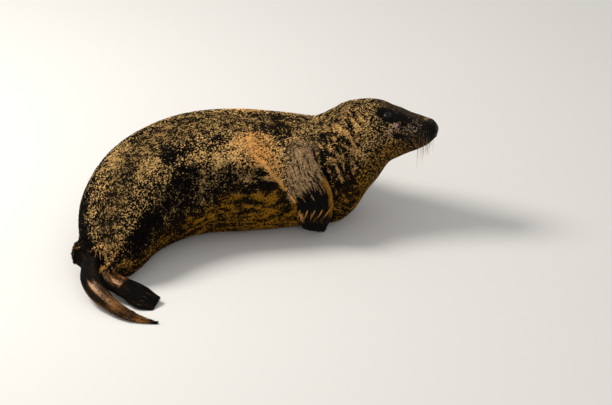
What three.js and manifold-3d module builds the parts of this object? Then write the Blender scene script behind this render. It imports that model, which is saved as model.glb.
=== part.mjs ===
// A young grey seal (Halichoerus grypus) resting on a beach, as a still life-size model.
// It lies on its belly with the chest propped and the head raised, and its hindquarters curl to its right.
// Millimetres, +Z up, floor at Z = 0, +X towards the head. The origin is under the bounding box's middle.
import * as THREE from "three";
import { mergeVertices } from "three/addons/utils/BufferGeometryUtils.js";
import Module from "manifold-3d";

const wasm = await Module();
wasm.setup();

// ---- driving sizes -------------------------------------------------------------------------------------

const GAP = 0.4; // clearance left between neighbouring solids
const CUT = 0.8; // width of the thin cuts that part the body
const BLOCK = 3000; // edge of the cubes that cut the body: the floor, and all that lies ahead of a parting

// The body from the nose tip to the rump: centre of each section, then its half width and its half height
// above and below that centre, and the way that its top faces, because the head is rolled a little.
// The sections stand upright. The belly's reach a little under the floor, which then cuts them flat.
const ROLLED = [0, 0.2, 1];
const LEVEL = [0, 0, 1];
const BODY = [
  { at: [504, -33, 264], half: [27, 20, 26], face: ROLLED }, // nose
  { at: [484, -29, 262], half: [36, 27, 36], face: ROLLED }, // nostrils
  { at: [459, -24, 258], half: [43, 37, 46], face: ROLLED }, // whisker pads
  { at: [434, -18, 254], half: [48, 46, 54], face: ROLLED }, // bridge of the muzzle
  { at: [410, -13, 250], half: [57, 58, 65], face: ROLLED }, // cheeks
  { at: [385, -8, 247], half: [64, 68, 81], face: ROLLED }, // eyes
  { at: [359, -2, 240], half: [73, 83, 118], face: ROLLED }, // ears
  { at: [330, 4, 226], half: [85, 99, 147], face: LEVEL }, // throat and crown
  { at: [298, 10, 206], half: [104, 112, 183], face: LEVEL }, // nape
  { at: [262, 16, 186], half: [125, 117, 194], face: LEVEL }, // neck
  { at: [226, 20, 164], half: [142, 110, 175], face: LEVEL }, // chest
  { at: [186, 22, 150], half: [155, 99, 162], face: LEVEL }, // in front of the shoulders
  { at: [120, 19, 144], half: [166, 115, 156], face: LEVEL }, // shoulders
  { at: [0, 0, 142], half: [173, 138, 154], face: LEVEL }, // middle of the trunk
  { at: [-118, -24, 140], half: [169, 142, 151], face: LEVEL }, // loin
  { at: [-214, -88, 130], half: [152, 132, 141], face: LEVEL }, // belly's end
  { at: [-278, -184, 112], half: [122, 112, 122], face: LEVEL }, // hips
  { at: [-304, -284, 88], half: [92, 86, 97], face: LEVEL }, // thighs
  { at: [-314, -360, 66], half: [62, 52, 66], face: LEVEL }, // rump
];
const BODY_AROUND = 28;
const BODY_ALONG = 56;
const RING_CROWDING = 1.45; // above 1 the rings crowd towards the nose
const NOSE_ROUNDING = 28;
const RUMP_ROUNDING = 44;
const UPPER_SQUARENESS = 2.2; // exponent of the sections above their centre: 2 is an ellipse
const LOWER_SQUARENESS = 2.4;

// Soft bumps and dents of the head, alike on both sides: distance from the nose, angle above the side (90 is
// the top, -90 the bottom), height, reach along the head and reach round it in degrees.
const HEAD_FORMS = [
  { along: 34, angle: -8, height: 5, reach: 18, round: 26 }, // whisker pad
  { along: 30, angle: 90, height: -2.5, reach: 16, round: 22 }, // hollow between the pads
  { along: 72, angle: -38, height: -2.5, reach: 26, round: 10 }, // mouth
  { along: 66, angle: -78, height: 3, reach: 30, round: 22 }, // chin
  { along: 104, angle: 58, height: 1, reach: 16, round: 13 }, // brow
  { along: 127, angle: 47, height: -5, reach: 13, round: 13 }, // hollow of the eye
  { along: 128, angle: 14, height: 5, reach: 26, round: 18 }, // cheekbone
  { along: 178, angle: 30, height: -4, reach: 6, round: 5 }, // ear hole
  { along: 8, angle: 38, height: -4, reach: 6, round: 16 }, // nostril
];
const EYE = { along: 127, angle: 49, radius: 16, sunk: 10 };

// Cuts that part the body, by distance from the nose, and the names of the pieces from the nose back.
const CUTS = [56, 168, 262, 360, 475, 590, 705, 820];
const BODY_PIECES = ["muzzle", "head", "neck", "chest", "shoulders", "trunk", "loin", "hips", "rump"];

// Flippers and tail from root to tip: centre, half width and half thickness, and the way that the back faces.
const FLIPPER_MESH = { around: 20, along: 10 };
const TAIL_MESH = { around: 12, along: 6 };
const DIGITS = 5;
const FORE_SLANT = 0.06; // how much shorter the fifth digit of a fore flipper is, as a share of the flipper
const FORE_FLIPPER = [
  { at: [140, -40, 210], half: [42, 26, 0], face: [0, -0.7, 0.7] }, // buried in the shoulder
  { at: [140, -84, 202], half: [52, 32, 0], face: [0, -0.8, 0.6] }, // upper arm
  { at: [154, -121, 176], half: [58, 29, 0], face: [0, -1, 0.25] }, // elbow
  { at: [184, -147, 136], half: [54, 15, 0], face: [0, -1, 0] }, // wrist
  { at: [193, -147, 92], half: [45, 9, 0], face: [0, -1, -0.2] }, // palm
  { at: [192, -129, 50], half: [37, 6, 0], face: [0, -0.9, -0.4] }, // digits
  { at: [190, -96, 5], half: [27, 3, 0], face: [0, -0.8, -0.6] }, // tips
];
const BODY_MIDDLE_AT_SHOULDERS = 21; // the left fore flipper mirrors the right one about this Y,
const LEFT_ARM_DROP = 30; // and its root lies this much lower in the shoulder, less and less to the wrist
const WRIST = 3; // number of the wrist's station
const LEFT_HIND_FLIPPER = [
  { at: [-354, -236, 78], half: [24, 22, 0], face: [-0.8, 0, 0.6] }, // buried in the thigh
  { at: [-379, -298, 68], half: [37, 22, 0], face: [-0.75, -0.05, 0.65] }, // heel
  { at: [-358, -346, 59], half: [35, 20, 0], face: [-0.7, -0.1, 0.7] }, // ankle
  { at: [-357, -401, 47], half: [28, 15, 0], face: [-0.5, -0.2, 0.8] }, // instep
  { at: [-336, -450, 34], half: [25, 12, 0], face: [-0.4, -0.3, 0.9] }, // middle of the foot
  { at: [-304, -490, 23], half: [19, 9, 0], face: [-0.3, -0.4, 0.9] },
  { at: [-264, -522, 14], half: [16, 7, 0], face: [-0.2, -0.4, 0.9] }, // digits
  { at: [-225, -539, 7], half: [11, 4.5, 0], face: [-0.1, -0.4, 0.9] },
  { at: [-184, -548, 3], half: [4, 2, 0], face: [0, -0.4, 0.9] }, // tips
];
const RIGHT_HIND_FLIPPER = [
  { at: [-334, -340, 54], half: [20, 18, 0], face: [0, -0.2, 1] }, // buried in the rump
  { at: [-304, -408, 42], half: [26, 16, 0], face: [0, -0.3, 0.9] }, // ankle
  { at: [-277, -425, 33], half: [29, 13, 0], face: [0, -0.3, 0.9] }, // instep
  { at: [-250, -438, 25], half: [32, 10, 0], face: [0, -0.3, 0.9] }, // middle of the foot
  { at: [-224, -455, 16], half: [34, 7, 0], face: [0, -0.3, 0.9] }, // digits
  { at: [-192, -466, 8], half: [24, 3, 0], face: [0, -0.3, 0.9] }, // tips
];
const TAIL = [
  { at: [-310, -330, 92], half: [22, 14, 0], face: [0, -0.4, 1] }, // buried in the rump
  { at: [-306, -380, 78], half: [15, 7, 0], face: [0, -0.5, 1] },
  { at: [-302, -408, 66], half: [7, 4, 0], face: [0, -0.6, 1] }, // tip
];

// Claws stand on the digits near their tips: share of the flipper's length, length, radius at the base, and
// how far they lean from the digit towards the edge behind, in millimetres over their length.
const FORE_CLAWS = { share: 0.63, length: 31, radius: 3.4, lean: 15 };
const HIND_CLAWS = { share: 0.82, length: 13, radius: 2.2, lean: 0 };

// ---- shaping -------------------------------------------------------------------------------------------

const clamp = (x, low, high) => Math.min(high, Math.max(low, x));
const signedPower = (x, power) => Math.sign(x) * Math.abs(x) ** power;
const bell = (x, reach) => Math.exp(-((x / reach) ** 2));

// A closed surface: each point of a unit sphere goes where place(share from pole to pole, angle round) says.
function shaped(around, along, place) {
  const sphere = new THREE.SphereGeometry(1, around, along);
  sphere.deleteAttribute("normal");
  sphere.deleteAttribute("uv");
  const points = sphere.getAttribute("position");
  const p = new THREE.Vector3();
  for (let i = 0; i < points.count; i++) {
    p.fromBufferAttribute(points, i);
    const share = Math.acos(clamp(p.y, -1, 1)) / Math.PI;
    const moved = place(share, Math.atan2(-p.z, p.x));
    points.setXYZ(i, moved.x, moved.y, moved.z);
  }
  return mergeVertices(sphere, 1e-3);
}

// The route of the body or of a limb: a smooth curve through centres, with sizes that change as smoothly.
class Route {
  constructor(stations, upright = false) {
    const curve = (key) =>
      new THREE.CatmullRomCurve3(stations.map((s) => new THREE.Vector3(...s[key])), false, "catmullrom");
    this.centres = curve("at");
    this.halves = curve("half");
    this.faces = curve("face");
    this.upright = upright;
    this.length = this.centres.getLength();
  }

  // Centre, sizes and directions at a distance from the start. Forward points back towards the start.
  at(distance) {
    const t = this.centres.getUtoTmapping(clamp(distance / this.length, 0, 1));
    const forward = this.centres.getTangent(t).negate();
    if (this.upright) forward.setZ(0).normalize();
    const left = this.faces.getPoint(t).cross(forward).normalize();
    const up = forward.clone().cross(left);
    return { centre: this.centres.getPoint(t), half: this.halves.getPoint(t), forward, left, up };
  }
}

// 0 at an end, 1 once a rounding's length away from it, along a quarter circle.
function rounding(distance, length) {
  const missing = 1 - clamp(distance / length, 0, 1);
  return Math.sqrt(1 - missing * missing);
}

const body = new Route(BODY, true);

// A point of the body's surface by distance from the nose and angle: 0 is its left side, 90 degrees its top.
function bodySurface(distance, angle) {
  const { centre, half, left, up } = body.at(distance);
  const above = Math.sin(angle) > 0;
  const power = 2 / (above ? UPPER_SQUARENESS : LOWER_SQUARENESS);
  const across = half.x * signedPower(Math.cos(angle), power);
  const rise = (above ? half.y : half.z) * signedPower(Math.sin(angle), power);
  const radius = Math.hypot(across, rise);
  const elevation = THREE.MathUtils.radToDeg(Math.atan2(Math.sin(angle), Math.abs(Math.cos(angle))));
  let height = 0;
  for (const form of HEAD_FORMS) {
    const along = bell(distance - form.along, form.reach);
    height += form.height * along * bell(elevation - form.angle, form.round);
  }
  const end = Math.min(rounding(distance, NOSE_ROUNDING), rounding(body.length - distance, RUMP_ROUNDING));
  const swell = end * (1 + height / radius);
  return centre.addScaledVector(left, across * swell).addScaledVector(up, rise * swell);
}

// A flipper or tail: an oval section that thins towards the tip, a ridge for each digit, and a tip whose
// margin is scalloped between the digits and slants back from the first one.
class Blade {
  constructor(stations, mesh, { digits = 0, slant = 0, first = -1 } = {}) {
    this.route = new Route(stations);
    Object.assign(this, { mesh, digits, slant, first });
  }

  // v runs across from edge to edge as -1 to 1; side is 1 on the back of the blade and -1 on its palm.
  point(run, v, side, grow = 0) {
    const ridge = this.digits && side ? Math.cos(this.digits * Math.PI * v) : 0;
    const scallop = this.digits ? 0.012 * ridge : 0;
    const reach = run - run ** 3 * ((this.slant * (1 - this.first * v)) / 2 - scallop);
    const { centre, half, forward, left, up } = this.route.at(this.route.length * reach);
    centre.addScaledVector(left, (half.x + grow) * v);
    centre.addScaledVector(up, (half.y * (1 + 0.2 * run * ridge) + grow) * side);
    return centre.addScaledVector(forward, grow * (1 - 2 * run));
  }

  geometry(grow = 0) {
    const { around, along } = this.mesh;
    return shaped(around, along, (share, angle) => {
      const isPole = share < 1e-6 || share > 1 - 1e-6;
      const v = isPole ? 0 : 1 - (2 * Math.abs(angle)) / Math.PI;
      const side = isPole ? 0 : Math.sign(angle) * Math.sqrt(1 - v * v);
      return this.point(Math.min(1, (share * along) / (along - 1)), v, side, grow);
    });
  }
}

// A claw: a cone bent along an arc that leaves the digit and comes back towards it at the tip.
function claw(blade, { share, length, radius, lean }, v, grow) {
  const side = 0.8 * Math.sqrt(1 - v * v);
  const base = blade.point(share, v, side);
  const ahead = blade.point(share + 0.04, v, side).sub(base).normalize();
  const { left, up } = blade.route.at(blade.route.length * share);
  return shaped(6, 4, (part, angle) => {
    const isPole = part < 1e-6 || part > 1 - 1e-6;
    const thick = isPole ? 0 : (radius + grow) * (1 - 0.75 * part ** 1.5);
    const rise = radius * (0.4 + 2.2 * part - 2.2 * part * part);
    const point = base.clone().addScaledVector(ahead, length * part + grow * (2 * part - 1));
    point.addScaledVector(left, blade.first * -lean * part + thick * Math.cos(angle));
    return point.addScaledVector(up, rise + 0.9 * thick * Math.sin(angle));
  });
}

// ---- solids --------------------------------------------------------------------------------------------

function solid(geometry) {
  return new wasm.Manifold(
    new wasm.Mesh({
      numProp: 3,
      vertProperties: geometry.getAttribute("position").array,
      triVerts: new Uint32Array(geometry.index.array),
    }),
  );
}

// A cube far larger than the seal, turned about Z and then moved.
function block(middle, turn = 0) {
  const geometry = new THREE.BoxGeometry(BLOCK, BLOCK, BLOCK).rotateZ(turn).translate(...middle);
  geometry.deleteAttribute("normal");
  geometry.deleteAttribute("uv");
  return solid(mergeVertices(geometry, 1e-3));
}

// All that lies nearer the nose than a section of the body, from a clearance ahead of it.
function ahead(distance, clearance) {
  const { centre, forward } = body.at(distance);
  const middle = centre.addScaledVector(forward, BLOCK / 2 + clearance);
  return block(middle.toArray(), Math.atan2(forward.y, forward.x));
}

function ball(radius, centre) {
  return solid(shaped(12, 8, (share, turn) =>
    new THREE.Vector3().setFromSphericalCoords(radius, Math.PI * share, turn).add(centre)));
}

// ---- materials -----------------------------------------------------------------------------------------

const fur = new THREE.MeshStandardMaterial({ color: 0x6b5a3e, roughness: 0.75, metalness: 0 });
const darkFur = new THREE.MeshStandardMaterial({ color: 0x2e261c, roughness: 0.6, metalness: 0 });
const wetSkin = new THREE.MeshStandardMaterial({ color: 0x241c15, roughness: 0.4, metalness: 0 });
const eyeSurface = new THREE.MeshStandardMaterial({ color: 0x08090b, roughness: 0.08, metalness: 0 });
const horn = new THREE.MeshStandardMaterial({ color: 0x5c4526, roughness: 0.4, metalness: 0 });

// ---- assembly ------------------------------------------------------------------------------------------

const seal = new THREE.Group();

function add(name, made, material) {
  const mesh = made.getMesh();
  const geometry = new THREE.BufferGeometry();
  geometry.setAttribute("position", new THREE.BufferAttribute(mesh.vertProperties, 3));
  geometry.setIndex(new THREE.BufferAttribute(mesh.triVerts, 1));
  const node = new THREE.Mesh(geometry, material);
  node.name = name;
  seal.add(node);
}

const floor = block([0, 0, -BLOCK / 2]);
const wholeBody = shaped(BODY_AROUND, BODY_ALONG, (share, angle) =>
  bodySurface(body.length * share ** RING_CROWDING, angle));
let flesh = solid(wholeBody).subtract(floor);

for (const [name, angle] of [["eye_left", EYE.angle], ["eye_right", 180 - EYE.angle]]) {
  const surface = bodySurface(EYE.along, THREE.MathUtils.degToRad(angle));
  const inward = body.at(EYE.along).centre.sub(surface).normalize();
  const centre = surface.addScaledVector(inward, EYE.sunk);
  add(name, ball(EYE.radius, centre), eyeSurface);
  flesh = flesh.subtract(ball(EYE.radius + GAP, centre));
}

const mirrored = ({ at, half, face }, station) => ({
  at: [
    at[0],
    2 * BODY_MIDDLE_AT_SHOULDERS - at[1],
    at[2] - LEFT_ARM_DROP * Math.max(0, 1 - station / WRIST),
  ],
  half,
  face: [face[0], -face[1], face[2]],
});
const hand = { digits: DIGITS, slant: FORE_SLANT };
const foot = { digits: DIGITS };
const blades = {
  fore_flipper_right: new Blade(FORE_FLIPPER, FLIPPER_MESH, { ...hand, first: -1 }),
  fore_flipper_left: new Blade(FORE_FLIPPER.map(mirrored), FLIPPER_MESH, { ...hand, first: 1 }),
  hind_flipper_left: new Blade(LEFT_HIND_FLIPPER, FLIPPER_MESH, foot),
  hind_flipper_right: new Blade(RIGHT_HIND_FLIPPER, FLIPPER_MESH, foot),
  tail: new Blade(TAIL, TAIL_MESH),
};

const earlier = [];
for (const [name, blade] of Object.entries(blades)) {
  const room = solid(blade.geometry(GAP));
  let limb = solid(blade.geometry()).subtract(floor);
  for (const other of earlier) limb = limb.subtract(other);
  flesh = flesh.subtract(room);
  earlier.push(room);
  const claws = name.startsWith("fore") ? FORE_CLAWS : HIND_CLAWS;
  for (let digit = 0; digit < blade.digits; digit++) {
    const across = blade.first * (0.8 - 0.4 * digit);
    const clawRoom = solid(claw(blade, claws, across, GAP));
    limb = limb.subtract(clawRoom);
    flesh = flesh.subtract(clawRoom);
    add(`${name.replace("flipper", "claw")}_${digit + 1}`, solid(claw(blade, claws, across, 0)), horn);
  }
  add(name, limb, name === "tail" ? fur : wetSkin);
}

// The body is parted from the nose back: each cut leaves a piece ahead of it and the rest behind it.
for (const [i, distance] of CUTS.entries()) {
  add(BODY_PIECES[i], flesh.intersect(ahead(distance, CUT / 2)), i === 0 ? darkFur : fur);
  flesh = flesh.subtract(ahead(distance, -CUT / 2));
}
add(BODY_PIECES[CUTS.length], flesh, fur);

// The origin goes under the middle of the bounding box.
const middle = new THREE.Box3().setFromObject(seal).getCenter(new THREE.Vector3());
seal.position.set(-middle.x, -middle.y, 0);

export default seal;
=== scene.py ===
import math

import bmesh
import bpy
import numpy as np
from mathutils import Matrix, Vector, kdtree


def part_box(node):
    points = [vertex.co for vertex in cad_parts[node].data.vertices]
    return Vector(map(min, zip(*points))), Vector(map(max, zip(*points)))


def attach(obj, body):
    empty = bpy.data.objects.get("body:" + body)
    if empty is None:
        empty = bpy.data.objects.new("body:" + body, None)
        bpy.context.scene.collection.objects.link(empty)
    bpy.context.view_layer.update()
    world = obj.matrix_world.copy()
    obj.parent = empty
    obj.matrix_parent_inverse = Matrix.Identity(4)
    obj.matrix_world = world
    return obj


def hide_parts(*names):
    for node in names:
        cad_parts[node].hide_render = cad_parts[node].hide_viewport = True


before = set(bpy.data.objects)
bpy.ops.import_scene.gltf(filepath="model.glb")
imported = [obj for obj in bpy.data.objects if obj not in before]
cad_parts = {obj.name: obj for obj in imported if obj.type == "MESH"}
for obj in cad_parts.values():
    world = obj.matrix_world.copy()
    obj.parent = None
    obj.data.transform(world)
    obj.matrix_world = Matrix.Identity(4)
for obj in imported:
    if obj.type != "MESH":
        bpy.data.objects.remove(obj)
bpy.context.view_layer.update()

bl_info = {
    "name": "Grey seal",
    "version": (1, 0, 0),
    "blender": (4, 5, 0),
    "location": "3D View > Sidebar > Grey seal",
    "description": "Skin, coat, eyes, claws and whiskers of a young grey seal at rest",
    "category": "Object",
}

MM = 0.001

# ---- the seal's form, in the solids' own millimetres -----------------------------------------------------
# Each station gives the centre of a section, its half width and half heights above and below, and the way
# that its top faces. They run from the nose to the rump, and on a limb from its root to its tip.

ROLLED = (0, 0.2, 1)
LEVEL = (0, 0, 1)
BODY = (
    ((504, -33, 264), (27, 20, 26), ROLLED),  # nose
    ((484, -29, 262), (36, 27, 36), ROLLED),  # nostrils
    ((459, -24, 258), (43, 37, 46), ROLLED),  # whisker pads
    ((434, -18, 254), (48, 46, 54), ROLLED),  # bridge of the muzzle
    ((410, -13, 250), (57, 58, 65), ROLLED),  # cheeks
    ((385, -8, 247), (64, 68, 81), ROLLED),  # eyes
    ((359, -2, 240), (73, 83, 118), ROLLED),  # ears
    ((330, 4, 226), (85, 99, 147), LEVEL),  # throat and crown
    ((298, 10, 206), (104, 112, 183), LEVEL),  # nape
    ((262, 16, 186), (125, 117, 194), LEVEL),  # neck
    ((226, 20, 164), (142, 110, 175), LEVEL),  # chest
    ((186, 22, 150), (155, 99, 162), LEVEL),  # in front of the shoulders
    ((120, 19, 144), (166, 115, 156), LEVEL),  # shoulders
    ((0, 0, 142), (173, 138, 154), LEVEL),  # middle of the trunk
    ((-118, -24, 140), (169, 142, 151), LEVEL),  # loin
    ((-214, -88, 130), (152, 132, 141), LEVEL),  # belly's end
    ((-278, -184, 112), (122, 112, 122), LEVEL),  # hips
    ((-304, -284, 88), (92, 86, 97), LEVEL),  # thighs
    ((-314, -360, 66), (62, 52, 66), LEVEL),  # rump
)
NOSE_ROUNDING = 28
RUMP_ROUNDING = 44
UPPER_SQUARENESS = 2.2
LOWER_SQUARENESS = 2.4

# Bumps and dents of the head: distance from the nose, angle above the side, height, reach along, reach round.
# Nostrils and ear holes are cut with the skin's fine forms.
HEAD_FORMS = (
    (34, -8, 5, 18, 26),  # whisker pad
    (30, 90, -2.5, 16, 22),  # hollow between the pads
    (72, -38, -2.5, 26, 10),  # mouth
    (66, -78, 3, 30, 22),  # chin
    (104, 58, 1, 16, 13),  # brow
    (127, 47, -5, 13, 13),  # hollow of the eye
    (128, 14, 5, 26, 18),  # cheekbone
)
EYE_ALONG, EYE_ANGLE, EYE_SUNK = 127, 49, 10

FORE_FLIPPER = (
    ((140, -40, 210), (42, 26, 0), (0, -0.7, 0.7)),  # buried in the shoulder
    ((140, -84, 202), (52, 32, 0), (0, -0.8, 0.6)),  # upper arm
    ((154, -121, 176), (58, 29, 0), (0, -1, 0.25)),  # elbow
    ((184, -147, 136), (54, 15, 0), (0, -1, 0)),  # wrist
    ((193, -147, 92), (45, 9, 0), (0, -1, -0.2)),  # palm
    ((192, -129, 50), (37, 6, 0), (0, -0.9, -0.4)),  # digits
    ((190, -96, 5), (27, 3, 0), (0, -0.8, -0.6)),  # tips
)
LEFT_HIND_FLIPPER = (
    ((-354, -236, 78), (24, 22, 0), (-0.8, 0, 0.6)),  # buried in the thigh
    ((-379, -298, 68), (37, 22, 0), (-0.75, -0.05, 0.65)),  # heel
    ((-358, -346, 59), (35, 20, 0), (-0.7, -0.1, 0.7)),  # ankle
    ((-357, -401, 47), (28, 15, 0), (-0.5, -0.2, 0.8)),  # instep
    ((-336, -450, 34), (25, 12, 0), (-0.4, -0.3, 0.9)),  # middle of the foot
    ((-304, -490, 23), (19, 9, 0), (-0.3, -0.4, 0.9)),
    ((-264, -522, 14), (16, 7, 0), (-0.2, -0.4, 0.9)),  # digits
    ((-225, -539, 7), (11, 4.5, 0), (-0.1, -0.4, 0.9)),
    ((-184, -548, 3), (4, 2, 0), (0, -0.4, 0.9)),  # tips
)
RIGHT_HIND_FLIPPER = (
    ((-334, -340, 54), (20, 18, 0), (0, -0.2, 1)),  # buried in the rump
    ((-304, -408, 42), (26, 16, 0), (0, -0.3, 0.9)),  # ankle
    ((-277, -425, 33), (29, 13, 0), (0, -0.3, 0.9)),  # instep
    ((-250, -438, 25), (32, 10, 0), (0, -0.3, 0.9)),  # middle of the foot
    ((-224, -455, 16), (34, 7, 0), (0, -0.3, 0.9)),  # digits
    ((-192, -466, 8), (24, 3, 0), (0, -0.3, 0.9)),  # tips
)
TAIL = (
    ((-310, -330, 92), (22, 14, 0), (0, -0.4, 1)),  # buried in the rump
    ((-306, -380, 78), (15, 7, 0), (0, -0.5, 1)),
    ((-302, -408, 66), (7, 4, 0), (0, -0.6, 1)),  # tip
)
BODY_MIDDLE_AT_SHOULDERS = 21
LEFT_ARM_DROP = 30
WRIST = 3
DIGITS = 5
FORE_SLANT = 0.06
FORE_CLAWS = {"share": 0.63, "length": 31, "radius": 3.4, "lean": 15}
HIND_CLAWS = {"share": 0.82, "length": 13, "radius": 2.2, "lean": 0}


def signed_power(x, power):
    return np.sign(x) * np.abs(x) ** power


def bell(x, reach):
    return np.exp(-((x / reach) ** 2))


def ramp(x, low, high):
    """0 at low and before it, 1 at high and past it, smooth between; low may be the larger."""
    t = np.clip((x - low) / (high - low), 0, 1)
    return t * t * (3 - 2 * t)


def rounding(distance, length):
    """0 at an end, 1 once a rounding's length away from it, along a quarter circle."""
    missing = 1 - np.clip(distance / length, 0, 1)
    return np.sqrt(1 - missing * missing)


def unit(vectors):
    return vectors / np.maximum(np.linalg.norm(vectors, axis=-1, keepdims=True), 1e-9)


class Curve:
    """A uniform Catmull-Rom curve, measured along its length in 200 steps."""

    STEPS = 200

    def __init__(self, points):
        p = np.array(points, float)
        self.last = len(p) - 2
        self.points = np.vstack([2 * p[0] - p[1], p, 2 * p[-1] - p[-2]])
        steps = self.at(np.linspace(0, 1, self.STEPS + 1))
        strides = np.linalg.norm(np.diff(steps, axis=0), axis=1)
        self.lengths = np.concatenate([[0], np.cumsum(strides)])

    def at(self, t):
        place = (self.last + 1) * t
        i = np.clip(np.floor(place).astype(int), 0, self.last)
        w = (place - i)[:, None]
        a, b, c, d = (self.points[i + k] for k in range(4))
        start, end = 0.5 * (c - a), 0.5 * (d - b)
        return b + start * w + (3 * (c - b) - 2 * start - end) * w**2 + (2 * (b - c) + start + end) * w**3

    def share(self, distance):
        return np.interp(distance, self.lengths, np.linspace(0, 1, self.STEPS + 1))

    def tangent(self, t):
        return unit(self.at(np.clip(t + 1e-4, 0, 1)) - self.at(np.clip(t - 1e-4, 0, 1)))


class Route:
    """The route of the body or a limb, with sizes that change as smoothly as the centres do."""

    def __init__(self, stations, upright=False):
        self.centres, self.halves, self.faces = (Curve([s[k] for s in stations]) for k in range(3))
        self.upright = upright
        self.length = self.centres.lengths[-1]

    def at(self, distance):
        """Centres, sizes and directions. Forward points back towards the start."""
        t = self.centres.share(np.clip(distance, 0, self.length))
        forward = -self.centres.tangent(t)
        if self.upright:
            forward[:, 2] = 0
            forward = unit(forward)
        left = unit(np.cross(self.faces.at(t), forward))
        return self.centres.at(t), self.halves.at(t), forward, left, np.cross(forward, left)


body = Route(BODY, upright=True)


def body_surface(distance, angle, inset=0):
    """Points of the body by distance from the nose and angle: 0 is its left side, a quarter turn its top."""
    centre, half, _, left, up = body.at(distance)
    above = np.sin(angle) > 0
    power = 2 / np.where(above, UPPER_SQUARENESS, LOWER_SQUARENESS)
    across = half[:, 0] * signed_power(np.cos(angle), power)
    rise = np.where(above, half[:, 1], half[:, 2]) * signed_power(np.sin(angle), power)
    radius = np.hypot(across, rise)
    elevation = np.degrees(np.arctan2(np.sin(angle), np.abs(np.cos(angle))))
    height = sum(
        high * bell(distance - along, reach) * bell(elevation - at, round_reach)
        for along, at, high, reach, round_reach in HEAD_FORMS
    )
    end = np.minimum(rounding(distance, NOSE_ROUNDING), rounding(body.length - distance, RUMP_ROUNDING))
    swell = end * (1 + (height - inset) / radius)
    return centre + left * (across * swell)[:, None] + up * (rise * swell)[:, None]


class Blade:
    """A flipper or tail: an oval section that thins towards the tip, with a ridge for each digit."""

    def __init__(self, stations, digits=0, slant=0.0, first=-1):
        self.route = Route(stations)
        self.digits, self.slant, self.first = digits, slant, first

    def points(self, run, v, side, relief=0.2, inset=0, tip=0):
        """v runs across from edge to edge; side is 1 on the back of the blade and -1 on its palm."""
        ridge = np.where(side != 0, np.cos(self.digits * math.pi * v), 0) if self.digits else 0 * v
        scallop = 0.012 * ridge
        reach = run - run**3 * (self.slant * (1 - self.first * v) / 2 - scallop)
        centre, half, _, left, up = self.route.at(self.route.length * reach)
        thin = np.minimum(inset, 0.3 * half[:, 1])
        thick = (half[:, 1] - thin) * (1 + relief * run * ridge)
        if tip:
            thick = thick * np.maximum(0.35, rounding((1 - run) * self.route.length, tip))
        return centre + left * ((half[:, 0] - thin) * v)[:, None] + up * (thick * side)[:, None]


def mirrored(stations):
    """The same flipper on the left, whose arm lies lower in the shoulder."""
    turned = []
    for station, ((x, y, z), half, face) in enumerate(stations):
        drop = LEFT_ARM_DROP * max(0, 1 - station / WRIST)
        turned.append(((x, 2 * BODY_MIDDLE_AT_SHOULDERS - y, z - drop), half, (face[0], -face[1], face[2])))
    return turned


BLADES = {
    "fore_right": Blade(FORE_FLIPPER, DIGITS, FORE_SLANT, -1),
    "fore_left": Blade(mirrored(FORE_FLIPPER), DIGITS, FORE_SLANT, 1),
    "hind_left": Blade(LEFT_HIND_FLIPPER, DIGITS),
    "hind_right": Blade(RIGHT_HIND_FLIPPER, DIGITS),
    "tail": Blade(TAIL),
}


def one(value):
    """A single number as a list, for the formulas that take many."""
    return np.array([float(value)])


def eye_formula(angle_deg):
    """Centre and outward direction of an eye, from its angle above the left side."""
    surface = body_surface(one(EYE_ALONG), np.radians(one(angle_deg)))[0]
    outward = unit(surface - body.at(one(EYE_ALONG))[0][0])
    return surface - outward * EYE_SUNK, outward


EYES = {"left": EYE_ANGLE, "right": 180 - EYE_ANGLE}
EYE_LOW, EYE_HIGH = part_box("eye_right")
EYE_RADIUS = (EYE_HIGH - EYE_LOW).z / 2
SHIFT = np.array((EYE_LOW + EYE_HIGH) / 2) / MM - eye_formula(EYES["right"])[0]
SHIFT[2] = 0  # along the floor, from the solids' own millimetres to the frame


def in_frame(points):
    """Points given in the solids' millimetres, in the frame's metres."""
    return (np.asarray(points) + SHIFT) * MM


# ---- sizes and colours that a user may change -------------------------------------------------------------


def length_mm(name, description, default):
    return bpy.props.FloatProperty(
        name=name, description=description, default=default * MM, subtype="DISTANCE", unit="LENGTH"
    )


def colour(name, description, red, green, blue):
    """A colour given as eight-bit display values."""
    values = [((c / 255 + 0.055) / 1.055) ** 2.4 if c > 10 else c / 255 / 12.92 for c in (red, green, blue)]
    return bpy.props.FloatVectorProperty(
        name=name, description=description, default=values, subtype="COLOR", size=3, min=0, max=1
    )


class SealSizes(bpy.types.PropertyGroup):
    coat_depth: length_mm("Coat depth", "How far the skin of the trunk lies inside the coat", 3)
    trunk_tuft: length_mm("Trunk tuft", "Length of a tuft on the trunk", 8.5)
    face_tuft: length_mm("Face tuft", "Length of a tuft between the eye and the muzzle", 3.4)
    foot_tuft: length_mm("Foot tuft", "Length of a tuft on the digits", 4.2)
    coverage: bpy.props.FloatProperty(
        name="Coverage",
        description="How often the trunk's tufts would cover its skin",
        default=1.8,
        min=0.1,
        max=3,
    )
    eye_opening: length_mm("Eye opening", "Half the length of the opening between the lids", 9.6)
    whisker: length_mm("Whisker", "Length of the longest whiskers", 74)


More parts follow.
